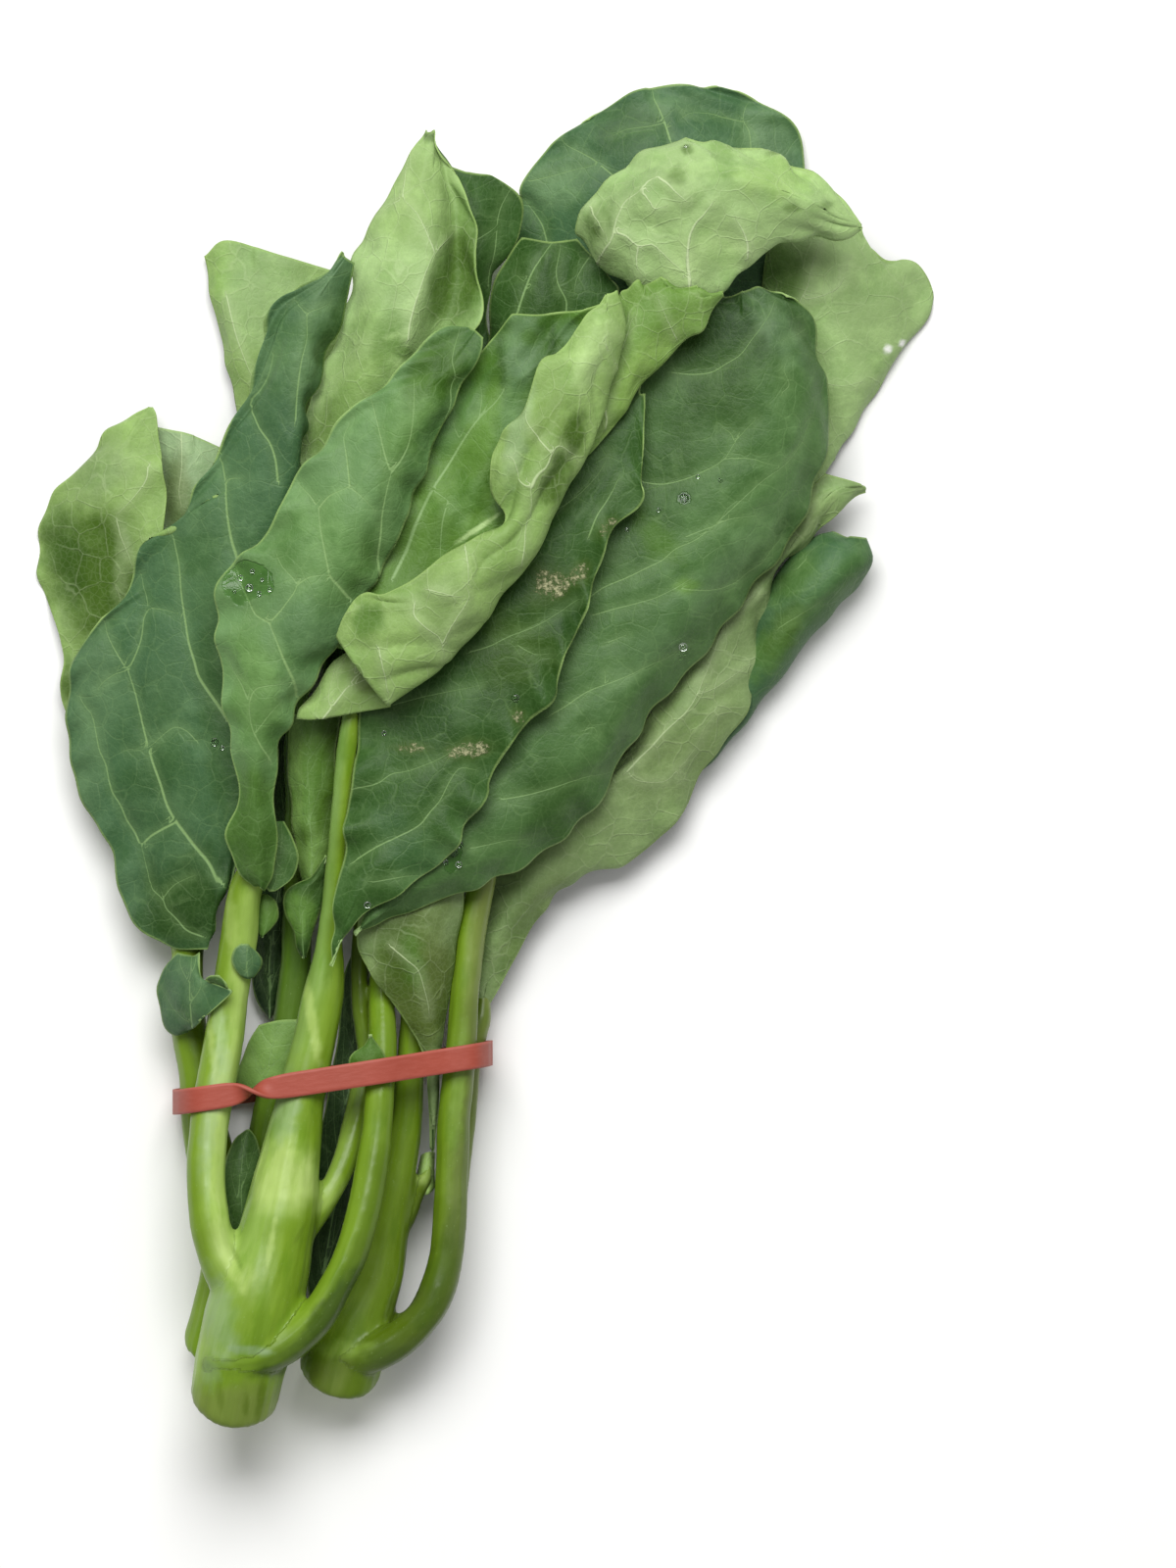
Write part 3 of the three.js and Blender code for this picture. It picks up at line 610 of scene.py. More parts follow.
def stalk_finish() -> bpy.types.Material:
    """Builds the skin of stalks and petioles: fine lines along them, wax, and pith where cut."""
    finish = Finish("stalk_skin")
    grain = finish.attribute("grain")
    across_x, across_y, length = finish.split(grain)
    cut = finish.split(finish.attribute("mark"))[0]
    stretched = finish.join(across_x, across_y, length * 0.045)
    fine_lines = finish.noise(stretched, 0.75, 3, 0.6)
    broad_lines = finish.noise(stretched, 2.6, 2, 0.5)
    cloud = finish.noise(grain, 12, 3)
    speck = finish.noise(grain, 0.8, 2, 0.6).rise(0.66, 0.74)
    colour = finish.dim(finish.attribute("front", "Color"), 0.66 + cloud * 0.42 + broad_lines * 0.2)
    wax = finish.noise(finish.join(across_x, across_y, length * 0.2), 5.5, 4, 0.6).rise(0.44, 0.62)
    waxed = finish.vector("MULTIPLY_ADD", colour, (1.14, 1.1, 1.3), (0.008, 0.008, 0.006))
    colour = finish.mix(wax * 0.6, colour, waxed)
    bare = finish.noise(finish.join(across_x, across_y, length * 0.35), 7, 4, 0.6).rise(0.52, 0.66)
    colour = finish.mix(bare * 0.5, colour, finish.vector("MULTIPLY", colour, (0.66, 0.78, 0.4)))
    colour = finish.dim(colour, 0.94 + fine_lines * 0.12)
    colour = finish.mix(speck * 0.15, colour, Tint.MILKY)
    pith = cut.fall(0.6, 0.78)
    ring = cut.fall(0.9, 0.97) - pith
    colour = finish.mix(ring, colour, Tint.STALK_PALE)
    colour = finish.mix(pith, colour, Tint.PITH)
    height = fine_lines * 0.03 + broad_lines * 0.12 + cloud * 0.3
    height = height + pith * finish.noise(grain, 0.5, 3) * 0.3
    return finish.end(
        Base_Color=colour,
        Roughness=0.28 + wax * 0.12 + fine_lines * 0.05 + pith * 0.25,
        Normal=finish.bump(height),
        IOR=1.32,
    )


def rubber_finish() -> bpy.types.Material:
    """Builds the band's dusty, slightly uneven rubber."""
    finish = Finish("band_rubber")
    place = finish.attribute("place")
    across, length, edge = finish.split(place)
    streak = finish.noise(finish.join(across, length * 0.2, 0.0), 0.8, 3, 0.6)
    dust = finish.noise(finish.join(across, length, 0.0), 1.2, 5, 0.7)
    colour = finish.mix(streak.rise(0.4, 0.7) * 0.16, Tint.RUBBER, Tint.RUBBER_PALE)
    worn = dust.rise(0.58, 0.75) * 0.2 + edge.fall(0.1, 0.9) * 0.35
    colour = finish.mix(worn, colour, Tint.RUBBER_PALE)
    colour = finish.dim(colour, 0.9 + finish.noise(place, 18, 2) * 0.25)
    height = streak * 0.06 + dust * 0.04
    return finish.end(Base_Color=colour, Roughness=0.5 + dust * 0.2, Normal=finish.bump(height), IOR=1.5)


def water_finish() -> bpy.types.Material:
    """Builds clear water."""
    finish = Finish("water")
    return finish.end(
        Base_Color=(0.95, 1.0, 0.95, 1.0),
        Roughness=0.03,
        IOR=1.33,
        Transmission_Weight=1.0,
    )


@dataclass(frozen=True)
class Grid:
    """A blade's grid of points before it has any relief, and what is known at each point.

    Attributes:
        across: The share of the blade's width that each line of points is at.
        smooth: The points.
        outward: The direction from the left margin to the right one.
        up: The normal.
        widths: How far the point is from the left margin.
        lengths: How far it is from the base.
        edge: How far it is from the nearest margin, or from the tip.
        veins: The signed distance to the nearest vein, the distance and that vein's width.
    """

    across: np.ndarray
    smooth: np.ndarray
    outward: np.ndarray
    up: np.ndarray
    widths: np.ndarray
    lengths: np.ndarray
    edge: np.ndarray
    veins: np.ndarray

    def relieved(self) -> np.ndarray:
        """Returns how much relief there is along the blade, from 0 where it has no width to 1."""
        return np.clip(self.widths[-1] / NARROW, 0, 1)

    def right(self) -> np.ndarray:
        """Returns which lines of points are in the blade's right half, as one column."""
        return self.across[:, None] > 0.5


@dataclass
class Blade:
    """A leaf blade that hangs on rails.

    Attributes:
        name: The frame's node that it stands for.
        up: The side of the leaf that faces up.
        tints: The colours of its upper side and its under side.
        rails: Lines from its base to its tip, ordered from its left margin to its right one as
            seen from above.
        veins: The veins that are drawn. Without any, it gets a midrib and a plain pattern.
        patches: What varies its colour or lies on it.
        wave: How far its margins wave, in millimetres.
        frill: How uneven its outline is.
        pucker: How far its flesh stands up between the veins.
        blister: How far small bumps stand out of it.
        crumple: How deep its creases are.
        seed: Moves its irregularities.
        places: Its points in millimetres, once it is built.
    """

    name: str
    up: Side
    tints: tuple[Tint, Tint]
    rails: tuple[tuple[tuple[float, float, float], ...], ...]
    veins: tuple[Vein, ...] = ()
    patches: tuple[Patch, ...] = ()
    wave: float = 0.7
    frill: float = 0.7
    pucker: float = 0.5
    blister: float = 0.25
    crumple: float = 0.0
    seed: float = 0.0
    places: np.ndarray = field(default_factory=lambda: np.zeros((0, 0, 3)), repr=False)

    def surface(self, across: np.ndarray, onward: np.ndarray) -> np.ndarray:
        """Returns the smooth surface's points, by share of its width and then of its length."""
        return along(np.stack([along(np.array(rail, float), onward) for rail in self.rails]), across)

    def shares(self) -> tuple[np.ndarray, np.ndarray]:
        """Returns evenly spread shares of the width and of the length, GRID or so apart."""
        fine = np.linspace(0, 1, 81)
        coarse = self.surface(fine, fine)
        spread = []
        for axis in (0, 1):
            steps = np.linalg.norm(np.diff(coarse, axis=axis), axis=-1)
            walked = np.concatenate([[0], np.cumsum(np.quantile(steps, 0.7, axis=1 - axis))])
            count = max(8, round(walked[-1] / GRID))
            spread.append(np.interp(np.linspace(0, walked[-1], count + 1), walked, fine))
        return spread[0], spread[1]

    def pattern(self) -> list[tuple[float, np.ndarray]]:
        """Returns widths and courses of a midrib and the veins that leave it in turn."""
        breadth = length_of(self.surface(np.linspace(0, 1, 30), np.array([0.5]))[:, 0])
        midrib = self.surface(np.array([0.5]), np.linspace(0, 0.97, 60))[0]
        courses = [(min(1.8, 0.03 * breadth), midrib)]
        count = max(2, round(length_of(midrib) / SIDE_VEIN_GAP))
        for turn in range(2 * count):
            start = (turn + 0.6 + 0.3 * math.sin(turn * 2.4 + self.seed)) / (2 * count + 0.5)
            out = np.linspace(0, 1, 24)
            reach = 0.44 if turn % 2 else -0.44
            rise = (0.1 + 0.55 / count) * out + 0.12 * out**2
            line = [
                self.surface(np.array([0.5 + reach * o]), np.array([min(start + r, 0.995)]))[0, 0]
                for o, r in zip(out, rise)
            ]
            courses.append((min(0.8, 0.014 * breadth), np.array(line)))
        return courses

    def courses(self, smooth: np.ndarray, across: np.ndarray) -> list[tuple[float, np.ndarray]]:
        """Returns the widths of its veins and their courses on the surface.

        Args:
            smooth: The surface's points before it is given any relief.
            across: The share of the width that each line of points is at.
        """
        if not self.veins:
            return self.pattern()
        courses = []
        for vein in self.veins:
            points = np.array(vein.points, float)
            line = along(points, np.linspace(0, 1, max(4, round(length_of(points) / VEIN_STEP))))
            candidates = smooth[within(across, vein.span)].reshape(-1, 3)
            away = np.linalg.norm(candidates[None, :, :2] - line[:, None], axis=-1)
            heights = candidates[away.argmin(axis=1), 2]
            heights = np.convolve(np.pad(heights, 2, mode="edge"), np.full(5, 0.2), mode="valid")
            courses.append((vein.width, np.column_stack([line, heights])))
        return courses

    def near_veins(self, smooth: np.ndarray, across: np.ndarray, up: np.ndarray) -> np.ndarray:
        """Finds the nearest vein of each point.

        Args:
            smooth: The surface's points.
            across: The share of the width that each line of points is at.
            up: The surface's upward normals.

        Returns:
            For each point the signed distance, the distance and the vein's width there.
        """
        points, normals = smooth.reshape(-1, 3), up.reshape(-1, 3)
        best = np.full((len(points), 3), FAR)
        best[:, 2] = 0.5
        for width, line in self.courses(smooth, across):
            start, step = line[:-1], np.diff(line, axis=0)
            keep = np.linalg.norm(step, axis=1) > 1e-6
            start, step = start[keep], step[keep]
            if not len(start):
                continue
            squared = (step**2).sum(axis=1)
            reach = VEIN_REACH + squared.max() ** 0.5
            low, high = start.min(axis=0) - reach, start.max(axis=0) + reach
            close = np.flatnonzero(((points > low) & (points < high)).all(axis=1))
            away = points[close, None] - start
            share = np.clip((away * step).sum(axis=-1) / squared, 0, 1)
            gap = away - share[..., None] * step
            distance = np.linalg.norm(gap, axis=-1)
            pick = distance.argmin(axis=1)
            rows = np.arange(len(close))
            distance, gap = distance[rows, pick], gap[rows, pick]
            side = np.sign((np.cross(step[pick], gap) * normals[close]).sum(axis=-1))
            course = (pick + share[rows, pick]) / len(start)
            found = np.stack([side * distance, distance, width * (1 - VEIN_TAPER * course)], axis=-1)
            nearer = distance < best[close, 1]
            best[close[nearer]] = found[nearer]
        return best.reshape(*smooth.shape[:-1], 3)

    def grid(self) -> Grid:
        """Returns the blade's grid of points, before it has any relief."""
        across, onward = self.shares()
        smooth = self.surface(across, onward)
        outward, forward = (unit(np.gradient(smooth, axis=axis)) for axis in (0, 1))
        up = unit(np.cross(outward, forward))
        widths = np.linalg.norm(np.diff(smooth, axis=0, prepend=smooth[:1]), axis=-1).cumsum(axis=0)
        lengths = np.linalg.norm(np.diff(smooth, axis=1, prepend=smooth[:, :1]), axis=-1).cumsum(axis=1)
        edge = np.minimum(np.minimum(widths, widths[-1:] - widths), lengths[:, -1:] - lengths)
        veins = self.near_veins(smooth, across, up)
        return Grid(across, smooth, outward, up, widths, lengths, edge, veins)

    def waves(self, grid: Grid) -> np.ndarray:
        """Returns how far the blade goes up and down at each point, with its creases."""
        phase = 2 * math.pi * grid.lengths / WAVE_LENGTH + 3 * rough(grid.smooth, 17, self.seed)
        height = self.wave * bell(grid.edge, WAVE_REACH) * np.sin(phase + grid.right() * 2.0)
        height += self.wave * 0.8 * bell(grid.edge, ROLL_REACH) * rough(grid.smooth, 13, self.seed + 5)
        height = height * grid.relieved() + SWELL * rough(grid.smooth, 26, self.seed + 9)
        if self.crumple:
            sideways, lengthways = grid.widths / CREASE_GAPS[0], grid.lengths / CREASE_GAPS[1]
            creased = np.stack([sideways, lengthways, 0 * sideways], axis=-1)
            height += self.crumple * (0.5 - 1.6 * np.abs(rough(creased, 1, self.seed + 2)))
        return height

    def relief(self, grid: Grid) -> np.ndarray:
        """Returns how far the flesh stands out of the blade's upper side at each point."""
        near, width = grid.veins[..., 1], grid.veins[..., 2]
        flesh = 1 - bell(near, VALLEY)
        relief = self.pucker * flesh - 0.1 * bell(near, width * 0.7)
        relief += self.blister * rough(grid.smooth, 8.5, self.seed + 3) * (0.3 + 0.7 * flesh)
        return relief * grid.relieved()

    def thickness(self, grid: Grid) -> np.ndarray:
        """Returns the thickness at each point, as a share of THICKEST."""
        near, width = grid.veins[..., 1], grid.veins[..., 2]
        ridge = np.minimum(width * 0.9, TALLEST_RIDGE) * bell(near, width * 0.6 + 0.35)
        flesh = MARGIN_SHARE + (BLADE_SHARE - MARGIN_SHARE) * (1 - bell(grid.edge, 1.6))
        return np.clip(flesh + ridge / THICKEST, 0, 1)

    def coats(self, grid: Grid) -> tuple[list[np.ndarray], np.ndarray]:
        """Returns the colours of its upper side and its under side, and the marks on it."""
        paints = [np.array(tint.linear()) * np.ones((*grid.edge.shape, 1)) for tint in self.tints]
        marks = np.zeros((*grid.edge.shape, 3))
        for patch in self.patches:
            cover = patch.cover(grid.smooth) * within(grid.across, patch.span)[:, None]
            if isinstance(patch.what, Mark):
                layer = marks[..., patch.what.value]
                np.maximum(layer, cover, out=layer)
            else:
                paint = paints[int((self.up is Side.UNDER) ^ patch.back)]
                paint += (np.array(patch.what.linear()) - paint) * cover[..., None]
        return paints, marks

    def build(self, palette: Palette) -> bpy.types.Object:
        """Makes the blade's mesh and finish.

        Args:
            palette: The finishes.

        Returns:
            The finished piece.
        """
        grid = self.grid()
        facing = 1 if self.up is Side.UPPER else -1
        frill = self.frill * bell(grid.edge, FRILL_REACH) * rough(grid.smooth, 9, self.seed + 7)
        frill = frill * grid.relieved() * np.where(grid.right(), 1, -1)
        raised = self.waves(grid) + facing * self.relief(grid)
        self.places = grid.smooth + grid.outward * frill[..., None] + grid.up * raised[..., None]
        thickness = self.thickness(grid)
        floor = CLEARANCE + THICKEST * thickness * (self.up is Side.UPPER)
        self.places[..., 2] = np.maximum(self.places[..., 2], floor)

        middle = grid.widths[len(grid.across) // 2]
        place = np.stack([grid.widths - middle, grid.lengths, grid.edge], axis=-1)
        paints, marks = self.coats(grid)
        order = slice(None) if self.up is Side.UPPER else slice(None, None, -1)
        mesh = Mesh(self.name)
        rows, columns = grid.edge.shape
        bmesh.ops.create_grid(mesh.bm, x_segments=rows - 1, y_segments=columns - 1, size=1)
        mesh.place(self.places[order].swapaxes(0, 1))
        mesh.vectors("place", place[order].swapaxes(0, 1))
        mesh.vectors("vein", grid.veins[order].swapaxes(0, 1))
        mesh.vectors("mark", marks[order].swapaxes(0, 1))
        mesh.colours("upper", paints[0][order].swapaxes(0, 1))
        mesh.colours("under", paints[1][order].swapaxes(0, 1))
        mesh.weights(thickness[order].swapaxes(0, 1))
        piece = mesh.finish([palette.leaf[Side.UPPER], palette.leaf[Side.UNDER]])
        piece.vertex_groups.new(name="thickness")
        wall = piece.modifiers.new("wall", "SOLIDIFY")
        wall.thickness = THICKEST * MM
        wall.offset = -1
        wall.vertex_group = "thickness"
        wall.material_offset = 1
        wall.material_offset_rim = 1
        nodes = [self.name] if self.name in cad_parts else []
        settle(piece, "leaf_upper" if self.up is Side.UPPER else "leaf_under", *nodes)
        return piece


@dataclass(frozen=True)
class Stem:
    """One round stem of a stalk.

    Attributes:
        points: Its course as x, y, z and radius, from where it starts.
        tints: Its colour at its start and at its end.
        flank_shading: The painted shading of its right flank, darker than its tints on most stems and
            paler on one, at its start and at its end.
        slant: How far a cut at its start leans, or None where it grows out of another stem.
    """

    points: tuple[tuple[float, float, float, float], ...]
    tints: tuple[Tint, Tint]
    flank_shading: tuple[Tint, Tint]
    slant: float | None = None


@dataclass
class Stalk:
    """Stems that grow out of each other, joined into one body.

    Attributes:
        name: The frame's node that it stands for.
        stems: Its stems, the main one first.
        patches: What varies its colour.
        seed: Moves its irregularities.
    """

    name: str
    stems: tuple[Stem, ...]
    patches: tuple[Patch, ...] = ()
    seed: float = 0.0

    @staticmethod
    def frame_of(points: np.ndarray, shares: np.ndarray) -> tuple[np.ndarray, ...]:
        """Returns the centres, radii, sides, tops and headings of a stem at shares of its course."""
        spots = along(points, shares)
        after, before = (along(points, np.clip(shares + step, 0, 1)) for step in (0.01, -0.01))
        ahead = unit(after - before)
        heading = unit(ahead[:, :3])
        side = unit(np.cross([0.0, 0.0, 1.0], heading))
        return spots[:, :3], spots[:, 3], side, np.cross(heading, side), heading

    def tube(self, bm: bmesh.types.BMesh, stem: Stem) -> None:
        """Adds one closed tube."""
        points = np.array(stem.points, float)
        length = length_of(points[:, :3])
        made = bmesh.ops.create_cone(
            bm, cap_ends=True, segments=SEGMENTS, radius1=1, radius2=1, depth=1
        )["verts"]
        edges = {edge for vert in made for edge in vert.link_edges}
        uprights = [e for e in edges if abs(e.verts[0].co.z - e.verts[1].co.z) > 0.5]
        bmesh.ops.subdivide_edges(bm, edges=uprights, cuts=round(length / RING_GAP))
        added = [v for v in bm.verts if not v.tag]
        shares = np.array([min(max(v.co.z + 0.5, 0), 1) for v in added])
        centre, radius, side, top, heading = self.frame_of(points, shares)
        bevel, bevel_reach = CUT_BEVEL if stem.slant is not None else (0.0, 1.0)
        taper, taper_reach = FAR_TAPER
        for index, vert in enumerate(added):
            walked = shares[index] * length
            wide = radius[index] * (1 - bevel * bell(walked, bevel_reach))
            wide *= 1 - taper * bell(length - walked, taper_reach)
            sideways, above = -wide * vert.co.x, wide * vert.co.y
            lean = (stem.slant or 0) * above * max(0.0, 1 - walked / SLANT_LENGTH)
            spot = centre[index] + side[index] * sideways + top[index] * above - heading[index] * lean
            vert.co = Vector(spot) * MM
            vert.tag = True

    def build(self, palette: Palette) -> bpy.types.Object:
        """Makes the stalk's mesh and finish.

        Args:
            palette: The finishes.

        Returns:
            The finished piece.
        """
        raw = Mesh(self.name + "_raw")
        for stem in self.stems:
            self.tube(raw.bm, stem)
        bmesh.ops.recalc_face_normals(raw.bm, faces=raw.bm.faces)
        draft = raw.finish([])
        join = draft.modifiers.new("join", "REMESH")
        join.mode = "VOXEL"
        join.voxel_size = VOXEL * MM
        depsgraph = bpy.context.evaluated_depsgraph_get()
        joined = bpy.data.meshes.new_from_object(draft.evaluated_get(depsgraph))
        mesh = Mesh(self.name)
        mesh.bm.from_mesh(joined)
        bpy.data.objects.remove(draft)
        for _ in range(SMOOTHINGS):
            bmesh.ops.smooth_vert(
                mesh.bm,
                verts=mesh.bm.verts,
                factor=0.5,
                use_axis_x=True,
                use_axis_y=True,
                use_axis_z=True,
            )
        mesh.bm.normal_update()
        spots = np.array([v.co[:] for v in mesh.bm.verts]) / MM
        normals = np.array([v.normal[:] for v in mesh.bm.verts])
        self.dress(mesh, spots, normals)
        piece = mesh.finish([palette.stalk])
        settle(piece, "stalk", self.name)
        return piece

    def dress(self, mesh: Mesh, spots: np.ndarray, normals: np.ndarray) -> None:
        """Gives the joined mesh its relief, its colours with painted shading on each stem's right flank,
        and its grain.

        Args:
            mesh: The joined mesh.
            spots: Its vertices.
            normals: Their normals.
        """
        count = len(spots)
        nearness = np.zeros((len(self.stems), count))
        grains = np.zeros((len(self.stems), count, 3))
        paints = np.zeros((len(self.stems), count, 4))
        cuts = np.ones(count)
        for index, stem in enumerate(self.stems):
            points = np.array(stem.points, float)
            shares = np.linspace(0, 1, 400)
            centre, radius, side, top, heading = self.frame_of(points, shares)
            walked = walked_along(centre)
            tree = KDTree(len(centre))
            for number, spot in enumerate(centre):
                tree.insert(spot, number)
            tree.balance()
            nearest = np.array([tree.find(spot)[1] for spot in spots])
            off = spots - centre[nearest]
            across = (off * side[nearest]).sum(axis=-1)
            above = (off * top[nearest]).sum(axis=-1)
            nearness[index] = np.exp(-5 * np.linalg.norm(off, axis=-1) / radius[nearest])
            grains[index] = np.stack([across, above, walked[nearest] + GRAIN_SHIFT * index], axis=-1)
            share = shares[nearest][:, None]
            ends = (np.array([tint.linear() for tint in pair]) for pair in (stem.tints, stem.flank_shading))
            crown, flank_shading = (first + (last - first) * share for first, last in ends)
            # painted shading: each stem's colour turns towards its flank_shading colour on its right side
            turned = np.clip(0.6 - across / radius[nearest] + 0.3 * rough(spots, 9), 0, 1)[:, None]
            paints[index] = crown + (flank_shading - crown) * eased(turned)
            if stem.slant is not None:
                ending = ((spots - centre[0]) * heading[0]).sum(axis=-1) + stem.slant * above < 0.5
                share = np.hypot(across, above) / radius[0]
                cuts = np.where(ending & (walked[nearest] < CUT_DEPTH), np.minimum(share, 1), cuts)
        weight = nearness / nearness.sum(axis=0)
        grain = grains[weight.argmax(axis=0), np.arange(count)]
        paint = (weight[..., None] * paints).sum(axis=0)
        for patch in self.patches:
            paint += (np.array(patch.what.linear()) - paint) * patch.cover(spots)[:, None]
        ribs = RIB_HEIGHT * rough(grain * RIB_RATES, 1, self.seed)
        knobs = KNOB_HEIGHT * rough(spots, 11, self.seed + 4)
        height = (ribs + knobs) * np.clip(cuts * 5 - 4, 0, 1)
        height += 0.12 * rough(spots, 1.2) * (cuts < 0.9) - HOLLOW * (1 - cuts**2)
        mesh.place(spots + normals * height[:, None])
        mesh.vectors("grain", grain)
        mesh.vectors("mark", np.outer(cuts, (1, 0, 0)))
        mesh.colours("front", paint)


@dataclass
class RubberBand:
    """The flat band around the stems, turned over twice on its way.

    Attributes:
        name: The frame's node that it stands for.
        path: Its course as x and z, seen along the bunch.
        middle: Where it crosses the bunch, as x and y.
        slope: How much y it gains for each millimetre of x.
        width: Its width when flat.
        thickness: Its thickness.
        twists: Where it turns over, as shares of its course, and how long each turn takes.
        pinch: The share of its width that it loses where it turns over.
    """

    name: str
    path: tuple[tuple[float, float], ...]
    middle: tuple[float, float] = (-40.0, -83.0)
    slope: float = 0.155
    width: float = 6.4
    thickness: float = 1.0
    twists: tuple[tuple[float, float], ...] = ((0.2, 0.05), (0.75, 0.06))
    pinch: float = 0.38

    def build(self, palette: Palette) -> bpy.types.Object:
        """Makes the band's mesh and finish.

        Args:
            palette: The finishes.

        Returns:
            The finished piece.
        """
        steps, strips = 360, 8
        turn = np.linspace(0, 1, steps + 1)
        path = np.array(self.path, float)
        spots = along(path, turn, closed=True)
        after, before = (along(path, (turn + step) % 1, closed=True) for step in (0.004, -0.004))
        ahead = unit(after - before)
        onward = self.middle[1] + (spots[:, 0] - self.middle[0]) * self.slope
        middle = np.stack([spots[:, 0], onward, spots[:, 1]], axis=-1)
        heading = unit(np.stack([ahead[:, 0], ahead[:, 0] * self.slope, ahead[:, 1]], axis=-1))
        outward = unit(np.stack([-ahead[:, 1], ahead[:, 0] * 0, ahead[:, 0]], axis=-1))
        flat = np.cross(outward, heading)
        angle, narrow = np.zeros_like(turn), np.ones_like(turn)
        for place, length in self.twists:
            share = np.clip((turn - place) / length + 0.5, 0, 1)
            angle += math.pi * eased(share)
            narrow -= self.pinch * bell(turn - place, length * 0.4)
        across = np.linspace(-0.5, 0.5, strips + 1) * self.width
        lift = outward * (0.25 * rough(middle, 14))[:, None]
        direction = flat * np.cos(angle)[:, None] + outward * np.sin(angle)[:, None]
        places = (middle + lift)[:, None] + direction[:, None] * (across * narrow[:, None])[..., None]
        place = np.zeros_like(places)
        place[..., 0] = across
        place[..., 1] = walked_along(middle)[:, None]
        place[..., 2] = self.width / 2 - np.abs(across)
        mesh = Mesh(self.name)
        bmesh.ops.create_grid(mesh.bm, x_segments=strips, y_segments=steps, size=1)
        mesh.place(places)
        mesh.vectors("place", place)
        bmesh.ops.remove_doubles(mesh.bm, verts=mesh.bm.verts, dist=0.02 * MM)
        piece = mesh.finish([palette.rubber])
        wall = piece.modifiers.new("wall", "SOLIDIFY")
        wall.thickness = self.thickness * MM
        wall.offset = 0
        settle(piece, "rubber_band", self.name)
        return piece


@dataclass(frozen=True)
class Drops:
    """Drops of water that lie on blades.

    Attributes:
        spots: The blade's name, x, y and radius of each.
        flatness: Their height as a share of their radius.
        lift: How far their middles are above the blade.
    """

    spots: tuple[tuple[str, float, float, float], ...]
    flatness: float = 0.38
    lift: float = 0.05

    def build(self, blades: dict[str, Blade], palette: Palette) -> bpy.types.Object:
        """Makes one piece of all the drops.

        Args:
            blades: The built blades by name.
            palette: The finishes.

        Returns:
            The finished piece.
        """
        mesh = Mesh("water_drops")
        for name, x, y, radius in self.spots:
            points = blades[name].places.reshape(-1, 3)
            away = np.hypot(points[:, 0] - x, points[:, 1] - y)
            near = points[away < max(1.5, away.min() + 0.1)]
            centre = near[near[:, 2].argmax()]
            drop = bmesh.ops.create_icosphere(mesh.bm, subdivisions=2, radius=radius * MM)["verts"]
            bmesh.ops.scale(mesh.bm, verts=drop, vec=(1, 1, self.flatness))
            bmesh.ops.translate(mesh.bm, verts=drop, vec=Vector((x, y, centre[2] + self.lift)) * MM)
        piece = mesh.finish([palette.water])
        settle(piece, "leaf_upper")
        return piece


@dataclass(frozen=True)
class Studio:
    """The floor, the light and the camera.

    Attributes:
        floor_side: The side of the square floor, in metres.
        camera_place: Where the camera is, in metres. It looks straight down.
        lens: Its focal length, in millimetres.
        light_place: Where the soft light is, in metres. It faces the bunch.
        light_size: Its two sides, in metres.
        light_power: Its power, in watts.
        room_light: How bright the room is.
    """

    floor_side: float = 6.0
    camera_place: tuple[float, float, float] = (0.0266, -0.0076, 5.035)
    lens: float = 450.0
    light_place: tuple[float, float, float] = (-0.12, 1.0, 1.65)
    light_size: tuple[float, float] = (1.4, 1.1)
    light_power: float = 46.0
    room_light: float = 0.4

    def camera(self) -> None:
        """Makes the camera."""
        data = bpy.data.cameras.new("camera")
        data.lens = self.lens
        data.sensor_width = 36.0
        data.clip_end = 50.0
        camera = bpy.data.objects.new("camera", data)
        camera.location = self.camera_place
        bpy.context.scene.collection.objects.link(camera)
        bpy.context.scene.camera = camera

    def floor(self) -> None:
        """Makes the floor."""
        finish = Finish("floor")
        place = finish.node("ShaderNodeTexCoord", {}, {}).outputs["Object"]
        grain = finish.noise(place, 0.3)
        colour = finish.dim(Tint.FLOOR.linear()[:3], 0.99 + grain * 0.02)
        mesh = Mesh("floor")
        bmesh.ops.create_grid(mesh.bm, x_segments=1, y_segments=1, size=self.floor_side / 2)
        mesh.finish([finish.end(Base_Color=colour, Roughness=0.9)])

    def lights(self) -> None:
        """Makes a bright room and one large soft light over the bunch."""
        world = bpy.data.worlds.new("room")
        world.use_nodes = True
        background = world.node_tree.nodes["Background"]
        background.inputs["Color"].default_value = (1.0, 1.0, 1.0, 1.0)
        background.inputs["Strength"].default_value = self.room_light
        bpy.context.scene.world = world
        data = bpy.data.lights.new("softbox", "AREA")
        data.shape = "RECTANGLE"
        data.size, data.size_y = self.light_size
        data.energy = self.light_power
        softbox = bpy.data.objects.new("softbox", data)
        place = Vector(self.light_place)
        softbox.location = place
        softbox.rotation_mode = "QUATERNION"
        softbox.rotation_quaternion = (-place).to_track_quat("-Z", "Y")
        bpy.context.scene.collection.objects.link(softbox)
        bpy.context.scene.view_settings.view_transform = "Standard"


